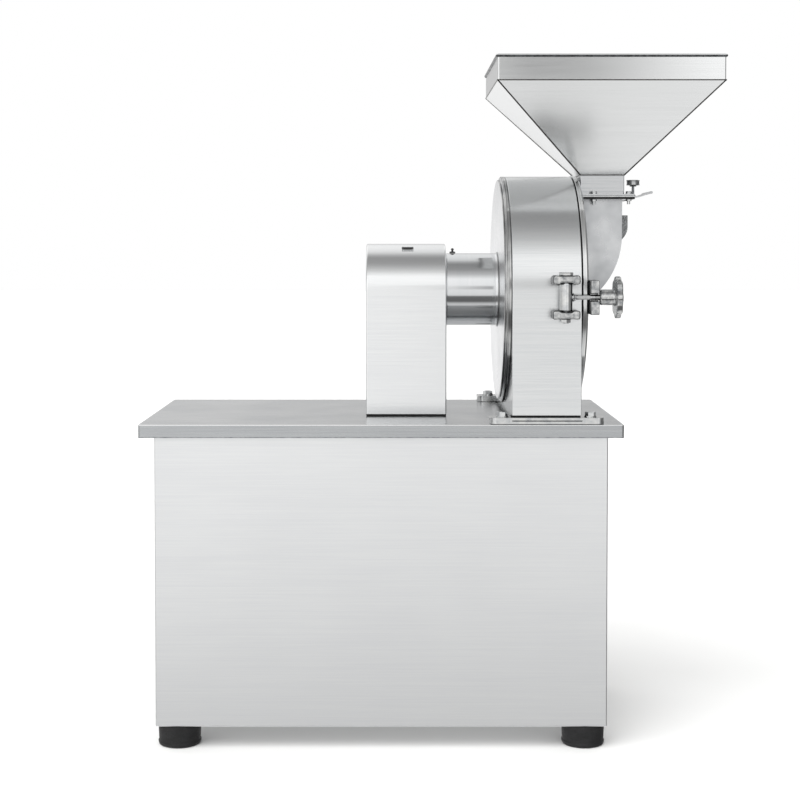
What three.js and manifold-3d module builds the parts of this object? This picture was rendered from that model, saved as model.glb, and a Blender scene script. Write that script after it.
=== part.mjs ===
// Stainless hammer mill on a cabinet: bearing housing, belt guard, grinding chamber, hinged door with
// feed chute and hopper, swing-bolt clamp, motor, belt drive, discharge chute and collection drawer.
// Millimetres, +Z up, +X towards the feed side, -Y towards the clamp side.
// The model is laid out from the middle of the table at floor level, then moved so that its origin is
// the bottom centre of its overall box.
import * as THREE from 'three';
import Module from 'manifold-3d';
import { mergeVertices } from 'three/addons/utils/BufferGeometryUtils.js';
import { ConvexGeometry } from 'three/addons/geometries/ConvexGeometry.js';

const wasm = await Module();
wasm.setup();

// ------------------------------------------------------------------ driving dimensions

const GAP = 0.3; // between two pieces that touch
const TURN_GAP = 0.6; // between a turning piece and what surrounds it
const WELD = 1e-3; // vertices closer than this are one

const TABLE = { length: 862, width: 460, top: 588, skirt: 23, sheet: 3, corner: 5 };
const OVERHANG = { end: 25, side: 24 }; // of the table over the cabinet
const CABINET = { length: TABLE.length - 2 * OVERHANG.end, width: TABLE.width - 2 * OVERHANG.side, wall: 3 };
const FOOT = { radius: 39, height: 40, chamfer: 3 };

const GUARD = { fromTableEnd: 460, width: 150, radius: 87, sheet: 3, lift: 6, tab: 20, tabInset: 3 };
const HOUSING = { radius: 69, length: 99, bearingRadius: 40, bearingWidth: 18, inset: 4 };
const BEARING_CAP = { radius: 47, length: 11, clearance: 2 };
const NIPPLE = { fromGuard: 14, radius: 4, base: 3, shoulder: 4.5, ball: 4, height: 9.6 };
const CASING = {
  fromTableEdge: 15, width: 124, wall: 5, endWall: 3, floor: 4, belowCircle: 1, rim: 30, floorInset: 39,
};
const CASING_SEAL = { thickness: 6 };
const BACK_PLATE = { thickness: 13, step: 5, stepDepth: 6, bore: 24 };
const FLANGE = { length: 204, width: 45, height: 12, corner: 12, fromFloor: 5, seam: 1.5, seamDepth: 4 };
const ANCHOR = { radius: 5, pitch: 158, headRadius: 9.8, head: 6.4, washer: 1.6, washerRadius: 11 };
const GASKET = { thickness: 2, fromRim: 8, fromHole: 3 };

const DOOR = { beyondCasing: 2, thickness: 10, chamfer: 3, feedHalf: 46, feedLow: 129, feedHigh: 57 };
const SCREEN = { fromCasing: 65, thickness: 3, endGap: 2 };
const STATOR = { fromScreen: 54, tooth: 8, wall: 26, rotorGap: 65, teeth: 20 };
const ROTOR = { fromScreen: 10, thickness: 10, hub: 32, hubLength: 14, fromCasing: 7 };
const HAMMER = { count: 4, tipGap: 4, rootGap: 12, foot: 12, thickness: 18, doorGap: 50, footThickness: 12 };
const SPINDLE = { radius: 20, pulleySeat: 16, rotorSeat: 17, tail: 26 };
const NUT = { radius: 25, thickness: 20 };

const CHUTE = { reach: 83, halfWidth: 50, wall: 3, belowDoorTop: 45, bend: 69, bendRadius: 151, steps: 12 };
const THROAT = { gap: 4, length: 83, height: 36, wall: 3 };
const PLATE_FLANGE = { gap: 1, length: 102, halfWidth: 70, thickness: 3 };
const GATE = {
  thickness: 2, halfWidth: 52, guideGap: 2, beyondFlange: 23, lip: 24, lipRise: 10, hem: 4, slot: 3,
};
const GATE_KNOB = {
  fromFlange: 8, foot: 5, stem: 2.4, head: 12.8, footHeight: 7, stemHeight: 13, height: 12,
};
const HOPPER = { length: 411, width: 342, slope: 165, band: 47, wall: 3, lip: 3, lipHeight: 4 };
const SCOOP = { reach: 14, low: 80, bend: 54, top: 31, halfWidth: 26, wall: 2 }; // down from the chute top

const HINGE = {
  behind: 21, radius: 11, pin: 6, leaf: 46, bracket: 72, gap: 2, plate: 6, leafReach: 98,
  plateFar: 39, plateNear: 7, arm: 19, pinHead: 3, pinEnd: 6,
};
const CLAMP = { fromDoor: 33, fromCasing: 22, below: 8, barrel: 11.3, pin: 5, rod: 5, height: 52 };
const CLAMP_PIN = { head: 12.5, headHeight: 6, tail: 8 };
const EAR = { length: 46, reach: 37, thickness: 12, corner: 9 };
const FORK = { depth: 15, above: 22, below: 39, slot: 6.8, beyondRod: 8, inward: 32 };
const HAND_NUT = {
  gap: 1, hub: 14, hubLength: 26, rodGrip: 18, radius: 37, lobe: 3.2, lobes: 8, pointsPerLobe: 6,
  thickness: 11,
};

const BELT = { width: 34, depth: 10 };
const PULLEY = { spindle: 55, motor: 75, width: 44, rim: 9 }; // radii at the belt's middle
const MOTOR = {
  axis: 190, radius: 100, fromGuard: 261, length: 240, shaft: 14, cover: 55, coverWall: 2, coverInset: 3,
  coverBend: 8, shoulder: 15, shoulderLength: 13, nose: 35, noseLength: 12, shaftEntry: 30,
};
const MOTOR_FOOT = { near: 60, far: 120, inset: 20, thickness: 20 };
const MOTOR_BASE = { height: 32, bar: 40, tie: 17, tieWidth: 30 };
const TERMINAL_BOX = { length: 90, width: 90, rise: 40 };
const BELT_SLOT = { margin: 9, halfWidth: 77 };

const SKIRT = { wall: 3, inset: 7 };
const DRAWER = {
  length: 170, lift: 10, height: 250, sideGap: 53, wall: 3, runner: 20, notch: 120, notchDepth: 25,
};
const DISCHARGE = { wall: 3, lowShift: 27, lowLength: 120, drawerGap: 5, sideGap: 20, flange: 10 };
const SERVICE = { beyondMotor: 50, length: 380, aboveFeet: 50, belowTable: 58, overlap: 12, sheet: 2.5 };
const SERVICE_HINGE = { radius: 6, pin: 3, offset: 10, leaf: 15, end: 50, axisOut: 7 };
const LOUVRE = { count: 6, length: 130, height: 7, pitch: 18, gap: 40 };
const LATCH = {
  fromEdge: 10, shaft: 6, knob: 14, flange: 3, knobHeight: 12, cam: 38, camWidth: 10, camThickness: 4,
};

// ------------------------------------------------------------------ places worked out from them

const casingRadius = TABLE.width / 2 - CASING.fromTableEdge;
const doorRadius = casingRadius + DOOR.beyondCasing;
const doorHole = casingRadius - CASING.rim;
const shaftHeight = TABLE.top + FLANGE.height + CASING_SEAL.thickness + casingRadius + CASING.belowCircle;
const tableLocal = TABLE.top - shaftHeight; // the table top, measured from the shaft axis
const guardLeft = TABLE.length / 2 - GUARD.fromTableEnd;
const guardRight = guardLeft + GUARD.width;
const plateLeft = guardRight + HOUSING.length;
const casingLeft = plateLeft + BACK_PLATE.thickness;
const casingRight = casingLeft + CASING.width;
const casingMiddle = (casingLeft + casingRight) / 2;
const doorLeft = casingRight + GASKET.thickness;
const doorRight = doorLeft + DOOR.thickness;
const casingBottom = tableLocal + FLANGE.height + CASING_SEAL.thickness;
const flangeTop = tableLocal + FLANGE.height;
const skirt = {
  x: [casingLeft + SKIRT.inset, casingRight - SKIRT.inset],
  half: casingRadius - CASING.floorInset,
};
const flangeInner = skirt.half + FLANGE.fromFloor;
const boltRow = flangeInner + FLANGE.width / 2;
const screenRadius = casingRadius - SCREEN.fromCasing;
const statorRadius = screenRadius - STATOR.fromScreen;
const pulleyMiddle = (guardLeft + guardRight) / 2;
const pulleyLeft = pulleyMiddle - PULLEY.width / 2;
const pulleyRight = pulleyMiddle + PULLEY.width / 2;
const chuteRight = doorRight + CHUTE.reach;
const throatLeft = doorRight + THROAT.gap;
const throatRight = throatLeft + THROAT.length;
const plateX = [doorRight + PLATE_FLANGE.gap, doorRight + PLATE_FLANGE.gap + PLATE_FLANGE.length];
const chuteTop = doorRadius - CHUTE.belowDoorTop;
const bendHeight = chuteTop - CHUTE.bend;
const gateLow = chuteTop + PLATE_FLANGE.thickness - 1;
const gateBase = gateLow + (GATE.slot - GATE.thickness) / 2;
const throatBase = gateLow + GATE.slot;
const throatTop = throatBase + PLATE_FLANGE.thickness + THROAT.height;
const hopperMiddle = (throatLeft + throatRight) / 2;
const hingeAt = { x: (doorLeft + doorRight) / 2, y: doorRadius + HINGE.behind };
const clampAt = { x: doorLeft - CLAMP.fromDoor, y: -casingRadius - CLAMP.fromCasing, z: -CLAMP.below };
const rotorLeft = casingLeft + ROTOR.fromCasing;
const rotorRight = rotorLeft + ROTOR.hubLength + ROTOR.thickness;
const cabinetTop = TABLE.top - TABLE.sheet - GAP;
const cabinetFloor = FOOT.height + CABINET.wall;
const drawerLow = FOOT.height + DRAWER.lift;
const drawerTop = drawerLow + DRAWER.height;
const drawerHalf = CABINET.width / 2 - DRAWER.sideGap - CABINET.wall;
const motorLeft = guardLeft - MOTOR.fromGuard;
const motorRight = motorLeft + MOTOR.length;
const serviceX = [motorLeft - SERVICE.beyondMotor, motorLeft - SERVICE.beyondMotor + SERVICE.length];
const serviceZ = [FOOT.height + SERVICE.aboveFeet, TABLE.top - SERVICE.belowTable];

// ------------------------------------------------------------------ shape helpers

function solidOf(geometry) {
  const bare = new THREE.BufferGeometry();
  bare.setAttribute('position', geometry.getAttribute('position').clone());
  bare.setIndex(geometry.index);
  const merged = mergeVertices(bare, WELD);
  return new wasm.Manifold(
    new wasm.Mesh({
      numProp: 3,
      vertProperties: merged.getAttribute('position').array,
      triVerts: new Uint32Array(merged.index.array),
    }),
  );
}

function geometryOf(solid) {
  const mesh = solid.getMesh();
  const geometry = new THREE.BufferGeometry();
  geometry.setAttribute('position', new THREE.BufferAttribute(mesh.vertProperties, 3));
  geometry.setIndex(new THREE.BufferAttribute(mesh.triVerts, 1));
  geometry.computeVertexNormals();
  return geometry;
}

function join(first, ...others) {
  return geometryOf(others.reduce((whole, other) => whole.add(solidOf(other)), solidOf(first)));
}

function cut(first, ...tools) {
  return geometryOf(tools.reduce((whole, tool) => whole.subtract(solidOf(tool)), solidOf(first)));
}

function block(x, y, z) {
  const size = [x, y, z].map(([low, high]) => high - low);
  const middle = [x, y, z].map(([low, high]) => (low + high) / 2);
  return new THREE.BoxGeometry(...size).translate(...middle);
}

// Turns a shape drawn for the given axis: its first two coordinates and its depth go to world axes.
function alongAxis(geometry, axis) {
  const [ex, ey, ez] = [0, 1, 2].map((i) => new THREE.Vector3().setComponent(i, 1));
  const turns = { x: [ey, ez, ex], y: [ez, ex, ey], z: [ex, ey, ez] };
  return geometry.applyMatrix4(new THREE.Matrix4().makeBasis(...turns[axis]));
}

// A prism along an axis. The outline's coordinates are (Y, Z), (Z, X) or (X, Y).
function prism(axis, outline, from, to, curveSegments = 12) {
  const options = { depth: to - from, bevelEnabled: false, curveSegments };
  const geometry = new THREE.ExtrudeGeometry(outline, options);
  return alongAxis(geometry.translate(0, 0, from), axis);
}

// A solid of revolution about a line along an axis. The profile lists [radius, place along the axis].
function turned(axis, profile, sides, centre = [0, 0, 0]) {
  const points = profile.map(([radius, along]) => new THREE.Vector2(radius, along));
  if (THREE.ShapeUtils.area(points) < 0) points.reverse();
  const onAxis = points.some((point) => point.x === 0);
  if (onAxis) {
    while (!(points[0].x === 0 && points[points.length - 1].x === 0)) points.push(points.shift());
  } else {
    points.push(points[0].clone());
  }
  const geometry = new THREE.LatheGeometry(points, sides).rotateX(Math.PI / 2);
  return alongAxis(geometry, axis).translate(...centre);
}

function cylinder(axis, radius, from, to, sides, centre) {
  return turned(axis, [[0, from], [radius, from], [radius, to], [0, to]], sides, centre);
}

function ring(axis, outer, inner, from, to, sides, centre) {
  return turned(axis, [[inner, from], [outer, from], [outer, to], [inner, to]], sides, centre);
}

function roundedRectangle(low, high, corner) {
  const [x0, y0] = low;
  const [x1, y1] = high;
  const outline = new THREE.Shape();
  outline.absarc(x1 - corner, y1 - corner, corner, 0, Math.PI / 2);
  outline.absarc(x0 + corner, y1 - corner, corner, Math.PI / 2, Math.PI);
  outline.absarc(x0 + corner, y0 + corner, corner, Math.PI, Math.PI * 1.5);
  outline.absarc(x1 - corner, y0 + corner, corner, Math.PI * 1.5, Math.PI * 2);
  return outline;
}

// An upright arch in the Y-Z plane: a half circle about the shaft axis on straight legs.
function arch(radius, bottom) {
  const outline = new THREE.Shape();
  outline.moveTo(-radius, bottom);
  outline.lineTo(radius, bottom);
  outline.absarc(0, 0, radius, 0, Math.PI);
  return outline;
}

// A rectangular funnel between two level rectangles.
function funnel(lowX, lowHalf, lowZ, highX, highHalf, highZ) {
  const corners = [];
  for (const [xs, half, z] of [[lowX, lowHalf, lowZ], [highX, highHalf, highZ]]) {
    for (const x of xs) {
      corners.push(new THREE.Vector3(x, -half, z), new THREE.Vector3(x, half, z));
    }
  }
  return new ConvexGeometry(corners);
}

const grow = ([low, high], by) => [low - by, high + by];
const mirrored = (half) => [-half, half];
const span = (middle, length) => [middle - length / 2, middle + length / 2];
const onSide = (side, near, far) => (side < 0 ? [-far, -near] : [near, far]);

// ------------------------------------------------------------------ finishes

const finish = (color, roughness, metalness) => () =>
  new THREE.MeshStandardMaterial({ color, roughness, metalness });
const brushed = finish('#c9cacb', 0.38, 1);
const polished = finish('#d8d8d6', 0.18, 1);
const plated = finish('#b9bab8', 0.3, 1);
const groundSteel = finish('#9b9da0', 0.35, 1);
const castGrey = finish('#5d666b', 0.6, 0.2);
const blackRubber = finish('#161616', 0.8, 0);
const blackPlastic = finish('#1d1d1f', 0.45, 0);
const seal = finish('#202020', 0.75, 0);

const machine = new THREE.Group();
const shaftLine = new THREE.Group(); // pieces laid out about the shaft axis
shaftLine.position.z = shaftHeight;
machine.add(shaftLine);

function place(parent, name, geometry, material) {
  const mesh = new THREE.Mesh(geometry, material());
  mesh.name = name;
  parent.add(mesh);
  return mesh;
}

// ------------------------------------------------------------------ cabinet and table

function cabinetShell() {
  const half = [CABINET.length / 2, CABINET.width / 2];
  const outer = block(mirrored(half[0]), mirrored(half[1]), [FOOT.height + GAP, cabinetTop]);
  const inside = block(
    mirrored(half[0] - CABINET.wall),
    mirrored(half[1] - CABINET.wall),
    [cabinetFloor, cabinetTop + CABINET.wall],
  );
  const serviceOpening = block(serviceX, grow([half[1] - CABINET.wall, half[1]], 1), serviceZ);
  const drawerOpening = block(
    grow([half[0] - CABINET.wall, half[0]], 1),
    mirrored(drawerHalf + 2 * GAP),
    [cabinetFloor, drawerTop + GAP],
  );
  return cut(outer, inside, serviceOpening, drawerOpening);
}

function anchorPlaces() {
  const [left, right] = span(casingMiddle, ANCHOR.pitch);
  return [['near', -boltRow], ['far', boltRow]].flatMap(([side, y]) =>
    [['left', left], ['right', right]].map(([end, x]) => ({ name: `anchor_bolt_${side}_${end}`, x, y })));
}

function tableTop() {
  const half = [TABLE.length / 2, TABLE.width / 2];
  const outline = roundedRectangle(half.map((v) => -v), half, TABLE.corner);
  const slab = prism('z', outline, TABLE.top - TABLE.skirt, TABLE.top, 6);
  const under = block(
    mirrored(half[0] - TABLE.sheet),
    mirrored(half[1] - TABLE.sheet),
    [TABLE.top - 2 * TABLE.skirt, TABLE.top - TABLE.sheet],
  );
  const through = [TABLE.top - 2 * TABLE.sheet, TABLE.top + TABLE.sheet];
  const beltSlot = block(
    [pulleyLeft - BELT_SLOT.margin, pulleyRight + BELT_SLOT.margin],
    mirrored(BELT_SLOT.halfWidth),
    through,
  );
  const discharge = block(grow(skirt.x, -SKIRT.wall), mirrored(skirt.half - SKIRT.wall), through);
  const holes = anchorPlaces().map(({ x, y }) =>
    cylinder('z', ANCHOR.radius + 2 * GAP, ...through, 12, [x, y, 0]));
  return cut(slab, under, beltSlot, discharge, ...holes);
}

function rubberFoot() {
  const { radius, height, chamfer } = FOOT;
  return turned('z', [
    [0, 0],
    [radius - chamfer, 0],
    [radius, chamfer],
    [radius, height],
    [0, height],
  ], 24);
}

function buildCabinet() {
  place(machine, 'cabinet_shell', cabinetShell(), brushed);
  place(machine, 'table_top', tableTop(), brushed);
  for (const [side, sy] of [['near', -1], ['far', 1]]) {
    for (const [end, sx] of [['left', -1], ['right', 1]]) {
      place(machine, `foot_${side}_${end}`, rubberFoot(), blackRubber)
        .position.set(sx * (CABINET.length / 2 - FOOT.radius), sy * (CABINET.width / 2 - FOOT.radius), 0);
    }
  }
}

// ------------------------------------------------------------------ service door on the far side

const serviceFace = CABINET.width / 2 + GAP;
const panelY = [serviceFace, serviceFace + SERVICE.sheet];
const serviceAxis = [
  serviceX[0] - SERVICE.overlap - SERVICE_HINGE.offset,
  CABINET.width / 2 + SERVICE_HINGE.axisOut,
  0,
];
const latchAt = { x: serviceX[1] - LATCH.fromEdge, z: (serviceZ[0] + serviceZ[1]) / 2 };

function serviceHinge() {
  const { radius, pin, leaf, end } = SERVICE_HINGE;
  const [low, high] = serviceZ;
  const leafX = [serviceAxis[0] - radius - 1 - leaf, serviceAxis[0] - radius - 1];
  const knuckles = [[low, low + end], [high - end, high]].flatMap((z) => [
    cylinder('z', radius, ...z, 16, serviceAxis),
    block([leafX[0], serviceAxis[0]], panelY, z),
  ]);
  return join(block(leafX, panelY, serviceZ), cylinder('z', pin, low, high, 16, serviceAxis), ...knuckles);
}

function serviceDoor() {
  const { radius, pin, end } = SERVICE_HINGE;
  const sleeveZ = grow(serviceZ, -end - 1);
  const panel = block(grow(serviceX, SERVICE.overlap), panelY, grow(serviceZ, SERVICE.overlap));
  const neck = block([serviceAxis[0], serviceX[0]], [panelY[0] + GAP, panelY[1]], sleeveZ);
  const sleeve = cylinder('z', radius, ...sleeveZ, 16, serviceAxis);
  const bore = cylinder('z', pin + GAP, ...grow(sleeveZ, 1), 16, serviceAxis);
  const latchHole = cylinder('y', LATCH.shaft + 2 * GAP, ...grow(panelY, 1), 16, [latchAt.x, 0, latchAt.z]);
  const middle = (serviceX[0] + serviceX[1]) / 2;
  const louvres = [];
  for (let row = 0; row < LOUVRE.count; row += 1) {
    const z = serviceZ[1] - LOUVRE.gap - row * LOUVRE.pitch;
    for (const side of [-1, 1]) {
      const x = middle + (side * (LOUVRE.length + LOUVRE.gap)) / 2;
      louvres.push(block(span(x, LOUVRE.length), grow(panelY, 1), [z - LOUVRE.height, z]));
    }
  }
  return cut(join(panel, neck, sleeve), bore, latchHole, ...louvres);
}

function serviceLatch() {
  const wallInside = CABINET.width / 2 - CABINET.wall;
  const outside = panelY[1] + GAP;
  const centre = [latchAt.x, 0, latchAt.z];
  const camY = [wallInside - 1 - LATCH.camThickness, wallInside - 1];
  const camZ = [latchAt.z - LATCH.camWidth / 2, latchAt.z + LATCH.cam];
  return join(
    block(span(latchAt.x, LATCH.camWidth), camY, camZ),
    cylinder('y', LATCH.shaft, camY[0], outside + LATCH.flange, 16, centre),
    cylinder('y', LATCH.knob, outside, outside + LATCH.flange, 24, centre),
    block(
      span(latchAt.x, LATCH.shaft),
      [outside, outside + LATCH.knobHeight],
      grow([latchAt.z, latchAt.z], LATCH.knob - 1),
    ),
  );
}

function buildServiceDoor() {
  place(machine, 'service_hinge', serviceHinge(), brushed);
  place(machine, 'service_door', serviceDoor(), brushed);
  place(machine, 'service_latch', serviceLatch(), blackPlastic);
}

// ------------------------------------------------------------------ motor and belt drive

const motorFootX = grow([motorLeft, motorRight], -MOTOR_FOOT.inset);

function motorBase() {
  const floor = cabinetFloor + GAP;
  const reach = CABINET.width / 2 - CABINET.wall - 1;
  const bars = [motorFootX[0], motorFootX[1] - MOTOR_BASE.bar].map((x) =>
    block([x, x + MOTOR_BASE.bar], mirrored(reach), [floor, floor + MOTOR_BASE.height]));
  const ties = mirrored((MOTOR_FOOT.near + MOTOR_FOOT.far) / 2).map((y) =>
    block(motorFootX, span(y, MOTOR_BASE.tieWidth), [floor, floor + MOTOR_BASE.tie]));
  return join(...bars, ...ties);
}

function motorFrame() {
  const { near, far, thickness } = MOTOR_FOOT;
  const { radius, shoulder, shoulderLength, nose, noseLength } = MOTOR;
  const footLow = cabinetFloor + 2 * GAP + MOTOR_BASE.height;
  const feet = [-1, 1].flatMap((side) => [
    block(motorFootX, onSide(side, near, far), [footLow, footLow + thickness]),
    block(motorFootX, onSide(side, near, near + thickness), [footLow, MOTOR.axis]),
  ]);
  const centre = [0, 0, MOTOR.axis];
  const barrel = turned('x', [
    [0, motorLeft],
    [radius, motorLeft],
    [radius, motorRight - noseLength - shoulderLength],
    [radius - shoulder, motorRight - noseLength],
    [nose, motorRight - noseLength],
    [nose, motorRight],
    [0, motorRight],
  ], 32, centre);
  const terminalBox = block(
    span((motorLeft + motorRight) / 2, TERMINAL_BOX.length),
    mirrored(TERMINAL_BOX.width / 2),
    [MOTOR.axis, MOTOR.axis + radius + TERMINAL_BOX.rise],
  );
  const boreX = [motorRight - MOTOR.shaftEntry, motorRight + 1];
  const bore = cylinder('x', MOTOR.shaft + TURN_GAP, ...boreX, 16, centre);
  return cut(join(barrel, terminalBox, ...feet), bore);
}

function motorFanCover() {
  const { radius, cover, coverWall, coverInset, coverBend } = MOTOR;
  const right = motorLeft - GAP;
  const left = right - cover;
  const outer = radius - coverInset;
  return turned('x', [
    [0, left],
    [outer - coverBend, left],
    [outer, left + coverBend],
    [outer, right],
    [outer - coverWall, right],
    [outer - coverWall, left + coverBend + coverWall],
    [outer - coverBend - coverWall, left + coverWall],
    [0, left + coverWall],
  ], 32, [0, 0, MOTOR.axis]);
}

// The belt's outline round both pulleys, at one distance outside (or inside) their pitch circles.
function beltLoop(Curve, outside) {
  const spindle = PULLEY.spindle + outside;
  const motor = PULLEY.motor + outside;
  const tilt = Math.asin((spindle - motor) / (shaftHeight - MOTOR.axis));
  const loop = new Curve();
  loop.absarc(0, shaftHeight, spindle, tilt, Math.PI - tilt);
  loop.absarc(0, MOTOR.axis, motor, Math.PI - tilt, Math.PI * 2 + tilt);
  return loop;
}

function bandedBelt() {
  const outline = beltLoop(THREE.Shape, BELT.depth / 2);
  outline.holes.push(beltLoop(THREE.Path, -BELT.depth / 2));
  return prism('x', outline, pulleyMiddle - BELT.width / 2, pulleyMiddle + BELT.width / 2, 24);
}

function pulley(pitch, bore) {
  const groove = pitch - BELT.depth / 2 - TURN_GAP;
  const rim = pitch + PULLEY.rim;
  const grooveX = grow([pulleyMiddle - BELT.width / 2, pulleyMiddle + BELT.width / 2], TURN_GAP);
  return turned('x', [
    [bore, pulleyLeft],
    [rim, pulleyLeft],
    [rim, grooveX[0]],
    [groove, grooveX[0]],
    [groove, grooveX[1]],
    [rim, grooveX[1]],
    [rim, pulleyRight],
    [bore, pulleyRight],
  ], 32);
}

function buildDrive() {
  place(machine, 'motor_base', motorBase(), brushed);
  place(machine, 'motor_frame', motorFrame(), castGrey);
  place(machine, 'motor_fan_cover', motorFanCover(), castGrey);
  place(machine, 'drive_belt', bandedBelt(), blackRubber);
  const shaft = cylinder('x', MOTOR.shaft, motorRight - MOTOR.shaftEntry + 1, pulleyRight + 3, 16);
  place(machine, 'motor_shaft', shaft, groundSteel).position.z = MOTOR.axis;
  place(machine, 'motor_pulley', pulley(PULLEY.motor, MOTOR.shaft + GAP), groundSteel)
    .position.z = MOTOR.axis;
  place(shaftLine, 'spindle_pulley', pulley(PULLEY.spindle, SPINDLE.pulleySeat + GAP), groundSteel);
}

// ------------------------------------------------------------------ guard, bearing housing, spindle

const capLeft = guardRight - BEARING_CAP.length;

function beltGuard() {
  const bottom = tableLocal + GUARD.lift;
  const x = [guardLeft, guardRight];
  const outer = prism('x', arch(GUARD.radius, bottom), ...x, 16);
  const inside = prism('x', arch(GUARD.radius - GUARD.sheet, bottom - 1), ...grow(x, -GUARD.sheet), 16);
  const holeRadius = BEARING_CAP.radius + BEARING_CAP.clearance;
  const hole = cylinder('x', holeRadius, guardRight - 2 * GUARD.sheet, guardRight + 1, 32);
  const tabs = [x[0] + GUARD.sheet, x[1] - GUARD.sheet - GUARD.tab].flatMap((left) =>
    [-1, 1].map((side) => block(
      [left, left + GUARD.tab],
      onSide(side, GUARD.radius - GUARD.sheet - GUARD.tabInset, GUARD.radius - 1),
      [tableLocal + GAP, bottom + 2 * GUARD.lift],
    )));
  return join(cut(outer, inside, hole), ...tabs);
}

function buildSpindleLine() {
  const bore = HOUSING.bearingRadius + GAP;
  const housingX = [guardRight + GAP, plateLeft - GAP];
  const { radius, pulleySeat, rotorSeat, tail } = SPINDLE;
  place(shaftLine, 'belt_guard', beltGuard(), brushed);
  place(shaftLine, 'bearing_housing', ring('x', HOUSING.radius, bore, ...housingX, 48), brushed);
  const nipple = turned('z', [
    [0, 0],
    [NIPPLE.radius, 0],
    [NIPPLE.radius, NIPPLE.base],
    [NIPPLE.radius / 2, NIPPLE.shoulder],
    [NIPPLE.radius / 2, NIPPLE.height - NIPPLE.ball],
    [NIPPLE.radius * 0.75, NIPPLE.height - NIPPLE.base],
    [NIPPLE.radius / 2, NIPPLE.height],
    [0, NIPPLE.height],
  ], 12);
  place(shaftLine, 'grease_nipple', nipple, blackPlastic)
    .position.set(guardRight + NIPPLE.fromGuard, 0, HOUSING.radius + GAP);
  const seats = {
    ball_bearing_rear: housingX[0] + HOUSING.inset,
    ball_bearing_front: housingX[1] - HOUSING.inset - HOUSING.bearingWidth,
  };
  for (const [name, left] of Object.entries(seats)) {
    const race = ring('x', HOUSING.bearingRadius, radius + GAP, left, left + HOUSING.bearingWidth, 32);
    place(shaftLine, name, race, groundSteel);
  }
  const cap = ring('x', BEARING_CAP.radius, radius + TURN_GAP, capLeft, guardRight, 32);
  place(shaftLine, 'bearing_cap', cap, groundSteel);
  place(shaftLine, 'spindle', turned('x', [
    [0, pulleyLeft - 2],
    [pulleySeat, pulleyLeft - 2],
    [pulleySeat, capLeft],
    [radius, capLeft],
    [radius, rotorLeft - GAP],
    [rotorSeat, rotorLeft - GAP],
    [rotorSeat, rotorRight + tail],
    [0, rotorRight + tail],
  ], 32), groundSteel);
}

// ------------------------------------------------------------------ grinding chamber

function chamberCasing() {
  const x = [casingLeft + GAP, casingRight];
  const insideX = grow([casingLeft, casingRight], -CASING.endWall);
  const outer = prism('x', arch(casingRadius, casingBottom), ...x, 24);
  const inside = prism('x', arch(casingRadius - CASING.wall, casingBottom + CASING.floor), ...insideX, 24);
  const spout = block(skirt.x, mirrored(skirt.half), [tableLocal + GAP, casingBottom + 1]);
  const outlet = block(
    grow(skirt.x, -SKIRT.wall),
    mirrored(skirt.half - SKIRT.wall),
    [tableLocal - 1, casingBottom + 2 * CASING.floor],
  );
  const spindleHole = cylinder('x', SPINDLE.radius * 2, casingLeft - 1, insideX[0] + 1, 32);
  const mouth = cylinder('x', doorHole, insideX[1] - 1, casingRight + 1, 48);
  return cut(join(outer, spout), inside, outlet, spindleHole, mouth);
}

function casingSeal() {
  const z = grow([flangeTop, casingBottom], -GAP);
  const outer = block([casingLeft + GAP, casingRight], mirrored(casingRadius), z);
  return cut(outer, block(grow(skirt.x, GAP), mirrored(skirt.half + GAP), [flangeTop - 1, casingBottom + 1]));
}

function footFlange(side) {
  const outerEdge = flangeInner + FLANGE.width;
  const y = onSide(side, flangeInner, outerEdge);
  const x = span(casingMiddle, FLANGE.length);
  const z = [tableLocal + GAP, flangeTop];
  const bar = prism('z', roundedRectangle([x[0], y[0]], [x[1], y[1]], FLANGE.corner), ...z, 8);
  const seamY = onSide(side, outerEdge - FLANGE.seamDepth, outerEdge + 1);
  const seam = block([casingLeft, casingRight], seamY, span((z[0] + z[1]) / 2, FLANGE.seam));
  const holes = anchorPlaces()
    .filter((bolt) => Math.sign(bolt.y) === side)
    .map((bolt) => cylinder('z', ANCHOR.radius + 2 * GAP, z[0] - 1, z[1] + 1, 12, [bolt.x, bolt.y, 0]));
  return cut(bar, seam, ...holes);
}

// Hexagon bolt with its washer; the shank ends in the tapped table sheet.
function anchorBolt() {
  const base = flangeTop + GAP;
  const headLow = base + ANCHOR.washer;
  const washer = cylinder('z', ANCHOR.washerRadius, base, headLow, 16);
  const head = cylinder('z', ANCHOR.headRadius, headLow, headLow + ANCHOR.head, 6);
  const shank = cylinder('z', ANCHOR.radius, tableLocal - TABLE.sheet, base + 1, 12);
  return join(washer, head, shank);
}

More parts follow.
